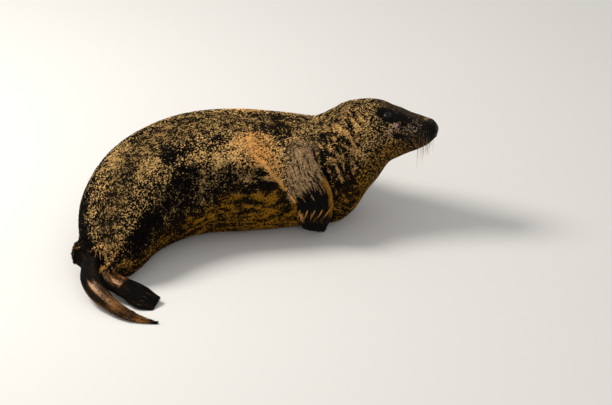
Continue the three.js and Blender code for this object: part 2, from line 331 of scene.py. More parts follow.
class SealColours(bpy.types.PropertyGroup):
    sand: colour("Sand", "Light flecks of the back and flank", 250, 204, 130)
    ink: colour("Ink", "Dark flecks of the back and flank", 10, 7, 5)
    # olive also paints a sheen on the back's top, seen at a grazing angle
    olive: colour("Olive", "Dry top of the back", 188, 152, 94)
    # gold also paints lit streaks and edges on a fore flipper
    gold: colour("Gold", "Light streaks of the lower flank and throat", 168, 118, 30)
    umber: colour("Umber", "Dark ground of the lower flank", 30, 20, 7)
    # tan also paints highlights: a fold's ridge, the nose's top, a fore flipper's rear edge, the hind
    # flippers
    tan: colour("Tan", "Smooth patch behind the shoulder", 240, 178, 100)
    ash: colour("Ash", "Pale forearm", 200, 164, 118)
    # soot also paints shade: a fore flipper's hand under the flank, and the folds
    soot: colour("Soot", "Muzzle, wrists and hind flippers", 9, 7, 5)
    bronze: colour("Bronze", "Lit parts of the hind flippers", 126, 82, 34)
    # rose paints highlights: under the eye, and brightened on the hind flippers
    rose: colour("Rose", "Pale flecks under the eye", 196, 158, 146)
    horn: colour("Horn", "Claws", 190, 132, 46)
    whisker: colour("Whisker", "Whiskers", 158, 110, 46)
    floor: colour("Floor", "Floor of the stage", 226, 224, 220)


# ---- meshes ----------------------------------------------------------------------------------------------


def keep_object(name, mesh, material, *nodes, slot=None):
    """Puts a finished mesh in the scene as a piece that stands for CAD nodes."""
    piece = bpy.data.objects.new(name, mesh)
    bpy.context.scene.collection.objects.link(piece)
    mesh.materials.clear()
    mesh.materials.append(material)
    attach(piece, "root")
    if nodes:
        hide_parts(*nodes)
    return piece


def numbers(items, key, width, kind=np.float32):
    """What some points, edges or triangles of a mesh hold under a key, as rows of numbers."""
    found = np.empty(len(items) * width, kind)
    items.foreach_get(key, found)
    return found.reshape(-1, width)


def coordinates(mesh):
    return numbers(mesh.vertices, "co", 3).astype(float)


def normals_of(mesh):
    return numbers(mesh.vertex_normals, "vector", 3).astype(float)


def edges_of(mesh):
    return numbers(mesh.edges, "vertices", 2, np.int32)


def field_of(mesh, name):
    return numbers(mesh.attributes[name].data, "value", 1)[:, 0].astype(float)


def vectors_of(mesh, name):
    return numbers(mesh.attributes[name].data, "vector", 3).astype(float)


def flat(values):
    return np.ascontiguousarray(values, np.float32).ravel()


def move_points(mesh, points):
    mesh.vertices.foreach_set("co", flat(points))


def give(mesh, name, values, kind="FLOAT"):
    """Gives each point of a mesh a number or a vector, under a name."""
    attribute = mesh.attributes.new(name, kind, "POINT")
    attribute.data.foreach_set("value" if kind == "FLOAT" else "vector", flat(values))


def mesh_from(bm, name):
    """Turns a bmesh into a mesh with smooth shading, and frees it."""
    mesh = bpy.data.meshes.new(name)
    bm.to_mesh(mesh)
    bm.free()
    mesh.shade_smooth()
    return mesh


def shaped(around, along, place):
    """A closed mesh: a sphere whose points go where place(ring, angle) says, pole to pole."""
    bm = bmesh.new()
    bmesh.ops.create_uvsphere(bm, u_segments=around, v_segments=along, radius=1)
    unit_points = np.array([v.co for v in bm.verts])
    ring = np.rint(np.arccos(np.clip(unit_points[:, 2], -1, 1)) / math.pi * along).astype(int)
    step = np.rint(np.arctan2(unit_points[:, 1], unit_points[:, 0]) / (2 * math.pi) * around)
    for vert, point in zip(bm.verts, place(ring, step * (2 * math.pi / around))):
        vert.co = point
    return mesh_from(bm, "shaped")


def smoothed(values, edges, weight, rounds):
    """Moves each point's values towards the mean of its neighbours, halfway in a round where weight is 1."""
    count = len(values)
    a, b = edges[:, 0], edges[:, 1]
    valence = np.maximum(np.bincount(a, minlength=count) + np.bincount(b, minlength=count), 1)[:, None]
    w = 0.5 * weight[:, None]
    for _ in range(rounds):
        mean = np.empty_like(values)
        for k in range(values.shape[1]):
            mean[:, k] = np.bincount(a, values[b, k], count) + np.bincount(b, values[a, k], count)
        values = values + w * (mean / valence - values)
    return values


# ---- the skin --------------------------------------------------------------------------------------------

AROUND = 176
FINE, COARSE = 1.2, 5.0  # spacing of the skin's rings on the head and on the trunk


def ring_distances():
    """Distances from the nose at which the body's skin has its rings, closest on the head."""
    distance = [NOSE_ROUNDING * (1 - math.cos(k / 36 * math.pi / 2)) for k in range(1, 37)]
    while distance[-1] < body.length - RUMP_ROUNDING:
        distance.append(distance[-1] + FINE + (COARSE - FINE) * float(ramp(distance[-1], 175, 300)))
    start = body.length - distance[-1]
    distance += [body.length - start * (1 - math.sin(k / 12 * math.pi / 2)) for k in range(1, 12)]
    return np.array([0.0, *distance, body.length])


def coat_depth(distance, depth):
    """How far the skin lies under the coat's surface: hardly at all on the nose, fully on the trunk."""
    return np.interp(distance, (0, 30, 90, 200, 330), (0.1, 0.27, 0.33, 0.7, 1.0)) * depth


# What each point of the skin carries for its finish and its coat: distance from the nose in metres, how far
# round from the back it lies and how far to the seal's left, how far along a fore or hind flipper, where it
# lies across that from the first digit at 1, and how far on its back rather than its palm. The way that the
# coat lies there follows as three more columns.
FIELDS = ("along", "drop", "left", "fore", "hind", "across", "palm")


def column(fields, name):
    return fields[:, FIELDS.index(name)]


def on_limb(fields):
    """0 on the body, and the share of a flipper's length on a flipper."""
    return column(fields, "fore") + column(fields, "hind")


def drop_of(angle):
    """How far round from the top a point of the body lies: 0 on the back, 1 under the belly."""
    return np.abs(np.angle(np.exp(1j * (angle - math.pi / 2)))) / math.pi


def body_shell(depth):
    """The body's skin as a closed mesh, and the fields of its points."""
    rings = ring_distances()
    fields = []

    def place(ring, angle):
        distance = rings[ring]
        drop = drop_of(angle)
        none = 0 * drop
        lie = -body.at(distance)[2] - np.outer(0.3 * np.sin(math.pi * drop), (0, 0, 1))
        fields.append(np.column_stack([distance * MM, drop, np.cos(angle), none, none, none, none, lie]))
        return in_frame(body_surface(distance, angle, coat_depth(distance, depth)))

    return shaped(AROUND, len(rings) - 1, place), fields[0]


BLADE_AROUND, BLADE_ALONG = 56, 64


def blade_shell(name, depth):
    """The skin of a flipper or the tail as a closed mesh, and the fields of its points."""
    blade = BLADES[name]
    fields = []

    def place(ring, angle):
        pole = (ring == 0) | (ring == BLADE_ALONG)
        v = np.where(pole, 0, 1 - 2 * np.abs(angle) / math.pi)
        side = np.where(pole, 0, np.sign(angle) * np.sqrt(np.maximum(1 - v * v, 0)))
        run = np.minimum(1, ring / (BLADE_ALONG - 1))
        lie = -blade.route.at(run * blade.route.length)[2]
        fore, hind = run * name.startswith("fore"), run * name.startswith("hind")
        none, own = 0 * run, 0 * run + (1 if name.endswith("left") else -1)
        fields.append(np.column_stack([none, none, own, fore, hind, v * blade.first, side, lie]))
        relief = 0.24 if name.startswith("fore") else 0.08
        return in_frame(blade.points(run, v, side, relief, depth * (0.8 - 0.5 * run), 5))

    return shaped(BLADE_AROUND, BLADE_ALONG, place), fields[0]


def tree_of(points):
    tree = kdtree.KDTree(len(points))
    for i, point in enumerate(points):
        tree.insert(point, i)
    tree.balance()
    return tree


def in_order(mesh):
    """A copy with its faces in a fixed order, as a union may give them in another order each time."""
    faces = []
    for polygon in mesh.polygons:
        corners = list(polygon.vertices)
        first = corners.index(min(corners))
        faces.append(corners[first:] + corners[:first])
    copy = bpy.data.meshes.new("skin")
    copy.from_pydata(coordinates(mesh), [], sorted(faces))
    return copy


def joined_skin(depth):
    """The union of the body with its limbs, its fields, and how far each point lies from a join."""
    shells = [body_shell(depth), *(blade_shell(name, depth) for name in BLADES)]
    points = [coordinates(mesh) for mesh, _ in shells]
    fields = [f for _, f in shells]
    on_body = tree_of(points[0])
    for name, p, f in zip(BLADES, points[1:], fields[1:]):
        nearest = [on_body.find(Vector(co))[1] for co in p]
        taken = 3 if name == "tail" else 2  # a flipper keeps its own side
        f[:, :taken] = fields[0][nearest, :taken]
    made = []
    for mesh, _ in shells:
        shell = bpy.data.objects.new("shell", mesh)
        bpy.context.scene.collection.objects.link(shell)
        made.append(shell)
    for other in made[1:]:
        union = made[0].modifiers.new("union", "BOOLEAN")
        union.operation, union.solver, union.object = "UNION", "MANIFOLD", other
    joined = made[0].evaluated_get(bpy.context.evaluated_depsgraph_get())
    mesh = in_order(bpy.data.meshes.new_from_object(joined))
    for shell in made:
        bpy.data.objects.remove(shell)

    tree, fields = tree_of(np.vstack(points)), np.vstack(fields)
    skin_points = coordinates(mesh)
    found = [tree.find_n(Vector(co), 3) for co in skin_points]
    index = np.array([[f[1] for f in three] for three in found])
    gap = np.array([[f[2] for f in three] for three in found])
    weight = 1 / (gap + 1e-6) ** 2
    weight /= weight.sum(1, keepdims=True)
    mixed = (fields[index] * weight[:, :, None]).sum(1)
    seam = tree_of(skin_points[gap[:, 0] > 1e-6])
    join = np.array([seam.find(Vector(co))[2] for co in skin_points])
    return mesh, mixed, join


def refined(mesh, centres, reach, longest):
    """Splits the longer edges near some points, so that small forms have enough faces there."""
    bm = bmesh.new()
    bm.from_mesh(mesh)
    for _ in range(3):
        close = {v for v in bm.verts if any((v.co - Vector(c)).length < reach for c in centres)}
        edges = [e for e in bm.edges if close.issuperset(e.verts) and e.calc_length() > longest]
        bmesh.ops.subdivide_edges(bm, edges=edges, cuts=1, use_single_edge=True)
        bmesh.ops.triangulate(bm, faces=[f for f in bm.faces if len(f.verts) > 3])
    bm.to_mesh(mesh)
    bm.free()


# Lines on the head and shoulder, as distance from the nose and angle above the side.
MOUTH = ((7, -86), (13, -66), (30, -52), (55, -38), (76, -18), (92, 0), (106, 9))
NOSTRIL = ((4, -6), (9, 24), (19, 47))
CHEEK_FOLD = ((88, 40), (98, 31), (108, 17), (114, 2))
SHOULDER_FOLD = ((352, 76), (346, 54), (334, 34), (313, 17), (291, 1), (277, -12))
ARMPIT_FLAP = ((510, 40), (484, 28), (459, 16), (438, 4), (420, -8))


def traced(line, side, depth, pieces=24):
    """A line on the skin, in the frame's metres, from distances and angles. Side is 1 for the seal's left."""
    along, elevation = Curve([(a, e, 0) for a, e in line]).at(np.linspace(0, 1, pieces))[:, :2].T
    angle = np.radians(np.where(side > 0, elevation, 180 - elevation))
    return in_frame(body_surface(along, angle, coat_depth(along, depth)))


def distance_to(points, line):
    """How far points lie from a line, in millimetres."""
    best = np.full(len(points), np.inf)
    for a, b in zip(line[:-1], line[1:]):
        t = np.clip((points - a) @ (b - a) / ((b - a) @ (b - a)), 0, 1)
        best = np.minimum(best, np.linalg.norm(points - a - t[:, None] * (b - a), axis=1))
    return best / MM


def follicles():
    """Places of the whiskers' roots on a pad: rows from the mouth up, each from the front back."""
    for row in range(4):
        for place in range(6 - row // 2):
            yield 16 + 5.4 * place + 1.6 * row, -34 + 15 * row + 1.5 * place


def eye_axes(name):
    """Centre, outward direction, direction to the nose and direction up of an eye, in the frame."""
    low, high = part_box(f"eye_{name}")
    centre = np.array((low + high) / 2)
    outward = eye_formula(EYES[name])[1]
    to_nose = unit(body.at(one(EYE_ALONG))[2][0] - np.array((0, 0, 0.22)))
    to_nose = unit(to_nose - outward * (to_nose @ outward))
    up = np.cross(outward, to_nose)
    return centre, outward, to_nose, up if up[2] > 0 else -up


LID = 1.3 * MM  # thickness of a lid
SOCKET_DEPTH = 2.2 * MM  # how far the skin lies under the eyeball's surface, within the opening
CORNER_DEPTH = 2.5 * MM  # how far a lid may sink to meet the eyeball, which falls away at its corners


def open_lids(points, name, half_length):
    """Draws the skin round an eye onto the eyeball as two lids with an opening between them. Also gives how
    far out each point lies, with 1 on the opening's edge."""
    centre, outward, to_nose, up = eye_axes(name)
    rel = points - centre
    out, along, across = rel @ outward, rel @ to_nose, rel @ up
    half_height = half_length * np.where(across > 0, 0.8, 0.7)
    near = (out > 0) & (np.hypot(along, across) < 3 * half_length)
    # r is 1 on the edge of the opening, an oval with pointed corners, and the points near it move onto it
    power = 1.8
    r = (np.abs(along / half_length) ** power + np.abs(across / half_height) ** power) ** (1 / power)
    snap = np.where(r < 1, 0.985, 1.015) / np.maximum(r, 1e-6)
    edge = np.abs(r - 1) < 0.06
    along, across = np.where(edge, along * snap, along), np.where(edge, across * snap, across)
    r = np.where(edge, r * snap, r)
    off_axis = along**2 + across**2
    lid = np.sqrt(np.maximum((EYE_RADIUS + LID) ** 2 - off_axis, 0))
    lid = np.maximum(lid, out - CORNER_DEPTH)
    behind = np.sqrt(np.maximum((EYE_RADIUS - SOCKET_DEPTH) ** 2 - off_axis, 0))
    blend = ramp(r, 1.15, 2.4)
    rim = 0.4 * MM * bell(r - 1.12, 0.12) - 0.5 * MM * bell(r - 1.45, 0.15) + 0.5 * MM * bell(r - 1.8, 0.2)
    target = np.where(r < 1, behind, lid * (1 - blend) + out * blend + rim)
    moved = centre + outward * target[:, None] + to_nose * along[:, None] + up * across[:, None]
    points = np.where(near[:, None], moved, points)
    return points, np.where(near, r, 9.0)


def head_relief(points, fields, depth):
    """Heights of the fine forms along the skin's normals in millimetres, and how bare the skin is there."""
    along, elevation = column(fields, "along") / MM, 90 - 180 * column(fields, "drop")
    height, bare = np.zeros(len(points)), np.zeros(len(points))
    head = np.flatnonzero((along < 215) & (on_limb(fields) < 0.01))
    p, a, e = points[head], along[head], elevation[head]
    h, b = np.zeros(len(head)), ramp(a, 9, 4)
    lip_line = np.interp(a, *np.array(MOUTH, float).T)
    for side in (1, -1):
        mouth = distance_to(p, traced(MOUTH, side, depth))
        above = np.tanh((e - lip_line) / 5)
        h += -1.9 * bell(mouth, 1.5) + 0.9 * above * bell(mouth - 4.5, 4) + 0.5 * bell(mouth - 4, 3)
        nostril = distance_to(p, traced(NOSTRIL, side, depth))
        h += -3.2 * bell(nostril, 1.5) + 1.0 * bell(nostril - 4, 2)
        fold = distance_to(p, traced(CHEEK_FOLD, side, depth))
        h += 1.3 * bell(fold, 4) - 0.8 * bell(fold - 6, 3)
        b = np.maximum(b, np.maximum(bell(mouth, 1.6), bell(nostril, 3.4)))
        for at, up in follicles():
            root = traced(((at, up), (at + 0.1, up)), side, depth, 2)
            h += 0.75 * bell(distance_to(p, root), 1.7)
        ear = distance_to(p, traced(((172, 22), (175, 24)), side, depth, 2))
        h += -3.5 * bell(ear, 2.4) + 1.2 * bell(ear - 5, 2.5)
    top = distance_to(p, traced(((16, 88), (8, 89), (2, 90)), 1, depth))
    h -= 1.0 * bell(top, 1.6)
    height[head], bare[head] = h, b
    return height, bare


def neck_relief(points, fields, depth):
    """Soft rolls of the raised neck, and the folds before and behind a fore flipper: heights in millimetres,
    and painted light along the folds, from 1 for a painted highlight on a ridge to -1 for painted shade."""
    along, drop = column(fields, "along") / MM, 180 * column(fields, "drop")
    wander = 6 * np.sin(points[:, 0] * 23 + 1) + 5 * np.sin(points[:, 2] * 31 + points[:, 1] * 17)
    roll = np.sin((along + 1.15 * drop + wander) / 27 * 2 * math.pi)
    on_neck = ramp(along, 175, 215) * ramp(along, 350, 310) * ramp(drop, 165, 130) * ramp(drop, 25, 60)
    height, painted_fold_shading = 0.9 * np.minimum(roll, 0.4) * on_neck, np.zeros(len(points))
    on_body = on_limb(fields) < 0.01
    flap_line = np.array(ARMPIT_FLAP, float)[::-1].T
    for side in (1, -1):
        fold = distance_to(points, traced(SHOULDER_FOLD, side, depth))
        flap = distance_to(points, traced(ARMPIT_FLAP, side, depth))
        under = (90 - drop < np.interp(along, *flap_line)) & (along > 415) & (along < 520)
        height += on_body * (4.0 * bell(flap, 8) - 3.0 * under * bell(flap - 13, 8) - 5.0 * bell(fold, 5.5))
        # painted highlight on the flap's ridge, painted shade under the flap and in the shoulder's fold
        lit, below = bell(flap, 5), 0.15 * under * bell(flap - 13, 7)
        painted_fold_shading += on_body * (lit - below - bell(fold, 5) * ramp(drop, 18, 48))
    return height, painted_fold_shading


def flesh_relief(points):
    """Slow unevenness of a soft body, in millimetres."""
    x, y, z = points.T / 0.1
    waves = np.sin(x * 1.3 + 2 * np.sin(y * 0.9))
    return 0.9 * (waves + np.sin(y * 1.7 + z * 1.1) * np.sin(x * 0.8 - z * 1.9))


JOIN_REACH = 20  # millimetres from a join over which the skin is smoothed
LID_REACH, LID_EDGE = 27 * MM, 1.1 * MM  # how far from an eye the faces are finer, and their longest edge
SKIN_FLOOR, TUFT_FLOOR = 0.3 * MM, 0.2 * MM  # the lowest that skin and tufts reach


def make_skin(sizes):
    """The whole skin as a mesh, with what its finish and its coat read at each point."""
    depth = sizes.coat_depth / MM
    mesh, fields, join = joined_skin(depth)
    give(mesh, "lie", fields[:, len(FIELDS) :], "FLOAT_VECTOR")
    for k, name in enumerate(FIELDS):
        give(mesh, name, fields[:, k])
    move_points(mesh, smoothed(coordinates(mesh), edges_of(mesh), ramp(join / MM, JOIN_REACH, 3), 40))
    refined(mesh, [eye_axes(name)[0] for name in EYES], LID_REACH, LID_EDGE)
    fields = np.column_stack([field_of(mesh, name) for name in FIELDS])
    points, normals = coordinates(mesh), normals_of(mesh)
    height, bare = head_relief(points, fields, depth)
    folds, painted_fold_shading = neck_relief(points, fields, depth)
    height += folds + flesh_relief(points) * ramp(fields[:, 0], 0.15, 0.35)
    points += normals * (height * MM)[:, None]
    for name in EYES:
        points, ring = open_lids(points, name, sizes.eye_opening)
        bare = np.maximum(bare, ramp(ring, 1.5, 1.25))
    points[:, 2] = np.maximum(points[:, 2], SKIN_FLOOR)
    move_points(mesh, points)
    lie = smoothed(vectors_of(mesh, "lie"), edges_of(mesh), np.ones(len(points)), 8)
    mesh.attributes["lie"].data.foreach_set("vector", flat(lie))
    # the painted highlight and painted shade along the folds, which the finishes read
    give(mesh, "painted_fold_shading", painted_fold_shading)
    give(mesh, "bare", bare)
    mesh.shade_smooth()
    mesh.update()
    return mesh


# ---- the coat --------------------------------------------------------------------------------------------

COAT_SEED = 7
# A tuft is a leaf: its root, the widest points left and right, the ridge and the tip, as shares of its
# length, width and height, the faces between them, and their places on the coat's map.
TUFT = np.array(((0, 0, -0.35), (0.36, 0.5, 0.2), (0.36, -0.5, 0.2), (0.45, 0, 1.0), (1, 0, 0.55)))
TUFT_FACES = np.array(((0, 2, 3), (0, 3, 1), (2, 4, 3), (1, 3, 4), (0, 1, 4), (0, 4, 2)))
TUFT_ON_MAP = np.array(((0, -0.5), (-0.5, -0.1), (0.5, -0.1), (0, 0), (0, 0.5))) * 0.003
TUFT_FILL = 0.55  # share of its length times its width that a tuft covers
TUFTS_A_PIECE = 33000  # six triangles each
MAP_MARGIN = 0.004


def coat_length(fields, sizes):
    """Length of a tuft in millimetres: shortest on the nose and face, longest in the heel's fringe."""
    along, fore, hind = (column(fields, name) for name in ("along", "fore", "hind"))
    along = along / MM
    trunk, face, foot = (size / MM for size in (sizes.trunk_tuft, sizes.face_tuft, sizes.foot_tuft))
    places = (0, 25, 60, 120, 175, 260, 400)
    lengths = (0.4 * face, 0.6 * face, 0.9 * face, face, 0.55 * trunk, 0.8 * trunk, trunk)
    length = np.interp(along, places, lengths)
    limb = np.maximum(ramp(fore, 0.45, 0.6), ramp(hind, 0.19, 0.27))
    return length + (foot - length) * limb + 3.5 * heel_fringe(fields)


def heel_fringe(fields):
    """1 where the coat of the thigh ends in a shaggy fringe over a hind flipper's heel."""
    hind = column(fields, "hind")
    return ramp(hind, 0.06, 0.12) * ramp(hind, 0.22, 0.18)


def coat_roots(skin, sizes, random):
    """Where each tuft stands: place, normal, lie and fields."""
    skin.calc_loop_triangles()
    corners = numbers(skin.loop_triangles, "vertices", 3, np.int32)
    points, normals, lie = coordinates(skin), normals_of(skin), vectors_of(skin, "lie")
    fields = np.column_stack([field_of(skin, name) for name in (*FIELDS, "painted_fold_shading", "bare")])
    a, b, c = (points[corners[:, k]] for k in range(3))
    area = np.linalg.norm(np.cross(b - a, c - a), axis=1) / 2 / MM**2
    middle = fields[corners].mean(1)
    length = coat_length(middle, sizes)
    cover = sizes.coverage * np.interp(length, (2, 4, 8), (0.4, 0.5, 1.0))
    density = cover / (TUFT_FILL * tuft_width(length) * length) * (1 - np.clip(middle[:, -1], 0, 1))
    under = (a[:, 2] < 4 * MM) & (normals[corners[:, 0], 2] < 0)
    density[under] = 0
    count = random.poisson(area * density)
    which = np.repeat(np.arange(len(corners)), count)
    u, v = random.random((2, len(which)))
    over = u + v > 1
    u, v = np.where(over, 1 - u, u), np.where(over, 1 - v, v)
    share = np.column_stack([1 - u - v, u, v])[:, :, None]
    three = corners[which]

    def spread(values):
        return (values[three] * share).sum(1)

    return spread(points), unit(spread(normals)), spread(lie), spread(fields)


def tuft_width(length):
    return np.interp(length, (1, 4, 9), (0.55, 1.3, 2.3))


def tufts_mesh(name, root, normal, lie, fields, sizes, random, unwrap):
    """One piece of the coat: a leaf-shaped solid at each root, lying along the coat."""
    count = len(root)
    length = coat_length(fields, sizes) * random.uniform(0.7, 1.25, count)
    width = tuft_width(length) * random.uniform(0.75, 1.2, count)
    ahead = unit(lie - normal * (lie * normal).sum(1)[:, None])
    beside = np.cross(normal, ahead)
    x, y, z = root.T
    swirl = 0.3 * np.sin(61 * x + 2.1 * np.sin(47 * z + 33 * y)) + 0.22 * np.sin(151 * y - 97 * z + 83 * x)
    turn = swirl + random.normal(0, 0.17, count)
    ahead, beside = (
        ahead * np.cos(turn)[:, None] + beside * np.sin(turn)[:, None],
        beside * np.cos(turn)[:, None] - ahead * np.sin(turn)[:, None],
    )
    rise = np.interp(length, (2, 5, 9), (0.05, 0.1, 0.15)) * random.uniform(0.4, 1.6, count)
    rise *= 1 + 1.6 * heel_fringe(fields)
    lift = length * rise
    points = (
        root[:, None, :]
        + ahead[:, None, :] * (TUFT[:, 0] * length[:, None] * MM)[:, :, None]
        + beside[:, None, :] * (TUFT[:, 1] * width[:, None] * MM)[:, :, None]
        + normal[:, None, :] * (TUFT[:, 2] * lift[:, None] * MM)[:, :, None]
    )
    points[:, :, 2] = np.maximum(points[:, :, 2], TUFT_FLOOR)
    faces = TUFT_FACES[None] + np.arange(count)[:, None, None] * len(TUFT)
    mesh = bpy.data.meshes.new(name)
    mesh.vertices.add(count * len(TUFT))
    move_points(mesh, points)
    mesh.loops.add(faces.size)
    mesh.loops.foreach_set("vertex_index", faces.astype(np.int32).ravel())
    mesh.polygons.add(faces.size // 3)
    mesh.polygons.foreach_set("loop_start", np.arange(0, faces.size, 3, dtype=np.int32))
    mesh.polygons.foreach_set("use_smooth", np.ones(faces.size // 3, bool))
    mesh.update(calc_edges=True)
    patch = unwrap[:, None, :] + TUFT_ON_MAP[None]
    mesh.uv_layers.new(name="OFBake").data.foreach_set("uv", flat(patch[:, TUFT_FACES, :]))
    for k, field in enumerate((*FIELDS, "painted_fold_shading")):
        give(mesh, field, np.repeat(fields[:, k], len(TUFT)))
    give(mesh, "grain", np.repeat(random.random(count), len(TUFT)))
    give(mesh, "tip", np.tile(TUFT[:, 0], count))
    mesh.validate()
    return mesh


# The coat's pieces on the body, from the nose back, and the distance from it at which each ends.
COAT_BANDS = (
    ("face", 0.165),
    ("crown", 0.28),
    ("neck", 0.40),
    ("shoulders", 0.51),
    ("chest", 0.62),
    ("trunk", 0.73),
    ("loin", 0.84),
    ("hips", 0.95),
    ("rump", 1.1),
)
FORE_COAT, HIND_COAT = 0.22, 0.1  # share of a flipper at which its own piece of coat begins


def coat_parts(fields):
    """The coat's pieces by name: which roots belong to each, and where they lie on a map of its skin."""
    along, drop, left, fore, hind, across, palm = (column(fields, name) for name in FIELDS)
    limb = (fore > FORE_COAT) | (hind > HIND_COAT)
    round_body = (1 + np.sign(left) * drop) / 2
    parts = {}
    start = 0.0
    for name, end in COAT_BANDS:
        chosen = ~limb & (along >= start) & (along < end)
        parts[name] = (chosen, np.column_stack([round_body, (along - start) / (end - start)]))
        start = end
    # a limb is opened along its rear edge, and the two of a pair lie side by side
    pair = (np.arctan2(palm, across) / (2 * math.pi) + 0.5 + (left > 0)) / 2
    parts["fore_flippers"] = (limb & (fore > FORE_COAT), np.column_stack([pair, fore]))
    parts["hind_flippers"] = (limb & (fore <= FORE_COAT), np.column_stack([pair, hind]))
    return parts


# ---- eyes, claws and whiskers ----------------------------------------------------------------------------


CORNEA_BULGE = 0.035  # share of the ball's radius


def eyeball(name):
    """A ball with the cornea's slight bulge."""
    centre, outward, _, _ = eye_axes(name)
    bm = bmesh.new()
    bmesh.ops.create_uvsphere(bm, u_segments=48, v_segments=32, radius=EYE_RADIUS)
    bmesh.ops.rotate(bm, verts=bm.verts, matrix=Vector(outward).to_track_quat("Z", "Y").to_matrix())
    for vert in bm.verts:
        facing = vert.co.normalized().dot(Vector(outward))
        vert.co *= 1 + CORNEA_BULGE * float(ramp(facing, 0.75, 0.95))
    bmesh.ops.translate(bm, verts=bm.verts, vec=Vector(centre))
    return mesh_from(bm, f"eyeball_{name}")


CLAW_SIDES, CLAW_RINGS = 12, 14


def claw(base, ahead, left, up, length, radius, bend):
    """A cone bent along an arc, that leaves the digit and comes back to it."""

    def place(ring, angle):
        part = ring / CLAW_RINGS
        pole = (ring == 0) | (ring == CLAW_RINGS)
        thick = np.where(pole, 0, radius * 0.62 * (1 - 0.8 * part**1.4) * rounding(part + 0.02, 0.12))
        rise = radius * (0.4 + 2.2 * part - 2.2 * part**2)
        sideways = bend * part + thick * np.cos(angle)
        upwards = rise + 0.85 * thick * np.sin(angle)
        spine = np.outer(length * part, ahead)
        return in_frame(base + spine + np.outer(sideways, left) + np.outer(upwards, up))

    return shaped(CLAW_SIDES, CLAW_RINGS, place)


def claws_of(name):
    """The five claws of a flipper as one mesh."""
    blade, form = BLADES[name], FORE_CLAWS if name.startswith("fore") else HIND_CLAWS
    share, length, radius, lean = (form[k] for k in ("share", "length", "radius", "lean"))
    bm = bmesh.new()
    for digit in range(DIGITS):
        v = blade.first * (0.8 - 0.4 * digit)
        side = 0.8 * math.sqrt(1 - v * v)
        base, further = (blade.points(one(at), one(v), one(side))[0] for at in (share, share + 0.04))
        _, _, _, left, up = (x[0] for x in blade.route.at(one(blade.route.length * share)))
        bm.from_mesh(claw(base, unit(further - base), left, up, length, radius, blade.first * -lean))
    return mesh_from(bm, f"claws_{name}")


WHISKER_SEED = 11
WHISKER_RADIUS, BROW_RADIUS = 0.55 * MM, 0.25 * MM
DOWN = (0, 0, -1)


def hair_into(bm, path, radius):
    """A tapered hair along a path of points in the frame, closed at both ends."""
    rings = len(path) - 1
    runs = []

    def place(ring, angle):
        ahead = unit(path[np.minimum(ring + 1, rings)] - path[np.maximum(ring - 1, 0)])
        beside = unit(np.cross(ahead, (0.3, 1, 0.2)))
        thick = np.where((ring == 0) | (ring == rings), 0, radius * (1 - 0.8 * ring / rings))[:, None]
        runs.append(ring / rings)
        rim = beside * np.cos(angle)[:, None] + np.cross(ahead, beside) * np.sin(angle)[:, None]
        return path[ring] + thick * rim

    mesh = shaped(5, rings, place)
    give(mesh, "tip", runs[0])
    bm.from_mesh(mesh)


def hair_root(at, up, side, inset):
    """Where a hair of the head grows from, under the surface by an inset, and the way out of the skin."""
    angle = np.radians(one(up if side > 0 else 180 - up))
    root, outside = (in_frame(body_surface(one(at), angle, deep))[0] for deep in (inset, inset - 10))
    return root, unit(outside - root)


def whisker_mesh(sizes):
    """Whiskers of both pads, wet and hanging, and a few stiff hairs over each eye."""
    random = np.random.default_rng(WHISKER_SEED)
    depth = sizes.coat_depth / MM
    bm = bmesh.new()
    steps = np.linspace(0, 1, 11)
    for side in (1, -1):
        for at, up in follicles():
            root, out = hair_root(at, up, side, depth * 0.3)
            reach = sizes.whisker * random.uniform(0.45, 1.0) * (0.62 + 0.38 * (up < 0))
            back = body.at(one(at))[2][0] * -random.uniform(-0.1, 0.25)
            fall = np.outer(steps**1.2 * reach * 0.93, DOWN)
            away = np.outer((1 - np.exp(-4 * steps)) * reach * random.uniform(0.14, 0.24), out + 0.6 * back)
            hair_into(bm, root + fall + away, WHISKER_RADIUS)
        for k in range(3):
            at, up = 99 + 5 * k, 60 + 3 * k
            root, out = hair_root(at, up, side, 1)
            out = unit(out - body.at(one(at))[2][0] * 0.8)
            path = root + np.outer(steps * 16 * MM, out) + np.outer(steps**2 * 7 * MM, DOWN)
            hair_into(bm, path, BROW_RADIUS)
    return mesh_from(bm, "whiskers")


# ---- finishes --------------------------------------------------------------------------------------------


def feed(slot, value):
    """Links a wire to a node's slot, or sets the slot's own value."""
    if isinstance(value, Wire):
        slot.id_data.links.new(value.socket, slot)
    else:
        slot.default_value = value


class Wire:
    """An output of a node; arithmetic on wires adds Math nodes."""

    def __init__(self, socket):
        self.socket = socket

    def math(self, operation, *values):
        settings = {"operation": operation}
        return add_node(self.socket.id_data, "ShaderNodeMath", settings, dict(enumerate(values)))[0]

    def __add__(self, other):
        return self.math("ADD", self, other)

    def __sub__(self, other):
        return self.math("SUBTRACT", self, other)

    def __rsub__(self, other):
        return self.math("SUBTRACT", other, self)

    def __mul__(self, other):
        return self.math("MULTIPLY", self, other)

    def __truediv__(self, other):
        return self.math("DIVIDE", self, other)

    def __pow__(self, other):
        return self.math("POWER", self, other)

    def __abs__(self):
        return self.math("ABSOLUTE", self)

    __radd__, __rmul__ = __add__, __mul__

    def ramp(self, low, high):
        """0 at low and before it, 1 at high and past it, smooth between; low may be the larger."""
        return add_node(
            self.socket.id_data,
            "ShaderNodeMapRange",
            {"interpolation_type": "SMOOTHSTEP"},
            {"Value": self, "From Min": low, "From Max": high},
        )[0]

    def most(self, other):
        """The larger of two."""
        return self.math("MAXIMUM", self, other)


class Outputs:
    """A node's outputs as wires, by name or number."""

    def __init__(self, node):
        self.node = node

    def __getitem__(self, key):
        return Wire(self.node.outputs[key])


def add_node(tree, kind, settings=None, values=None):
    """Adds a node of a kind, with its settings first and then the values or links of its sockets."""
    node = tree.nodes.new(kind)
    for key, value in (settings or {}).items():
        setattr(node, key, value)
    for key, value in (values or {}).items():
        feed(node.inputs[key], value)
    return Outputs(node)


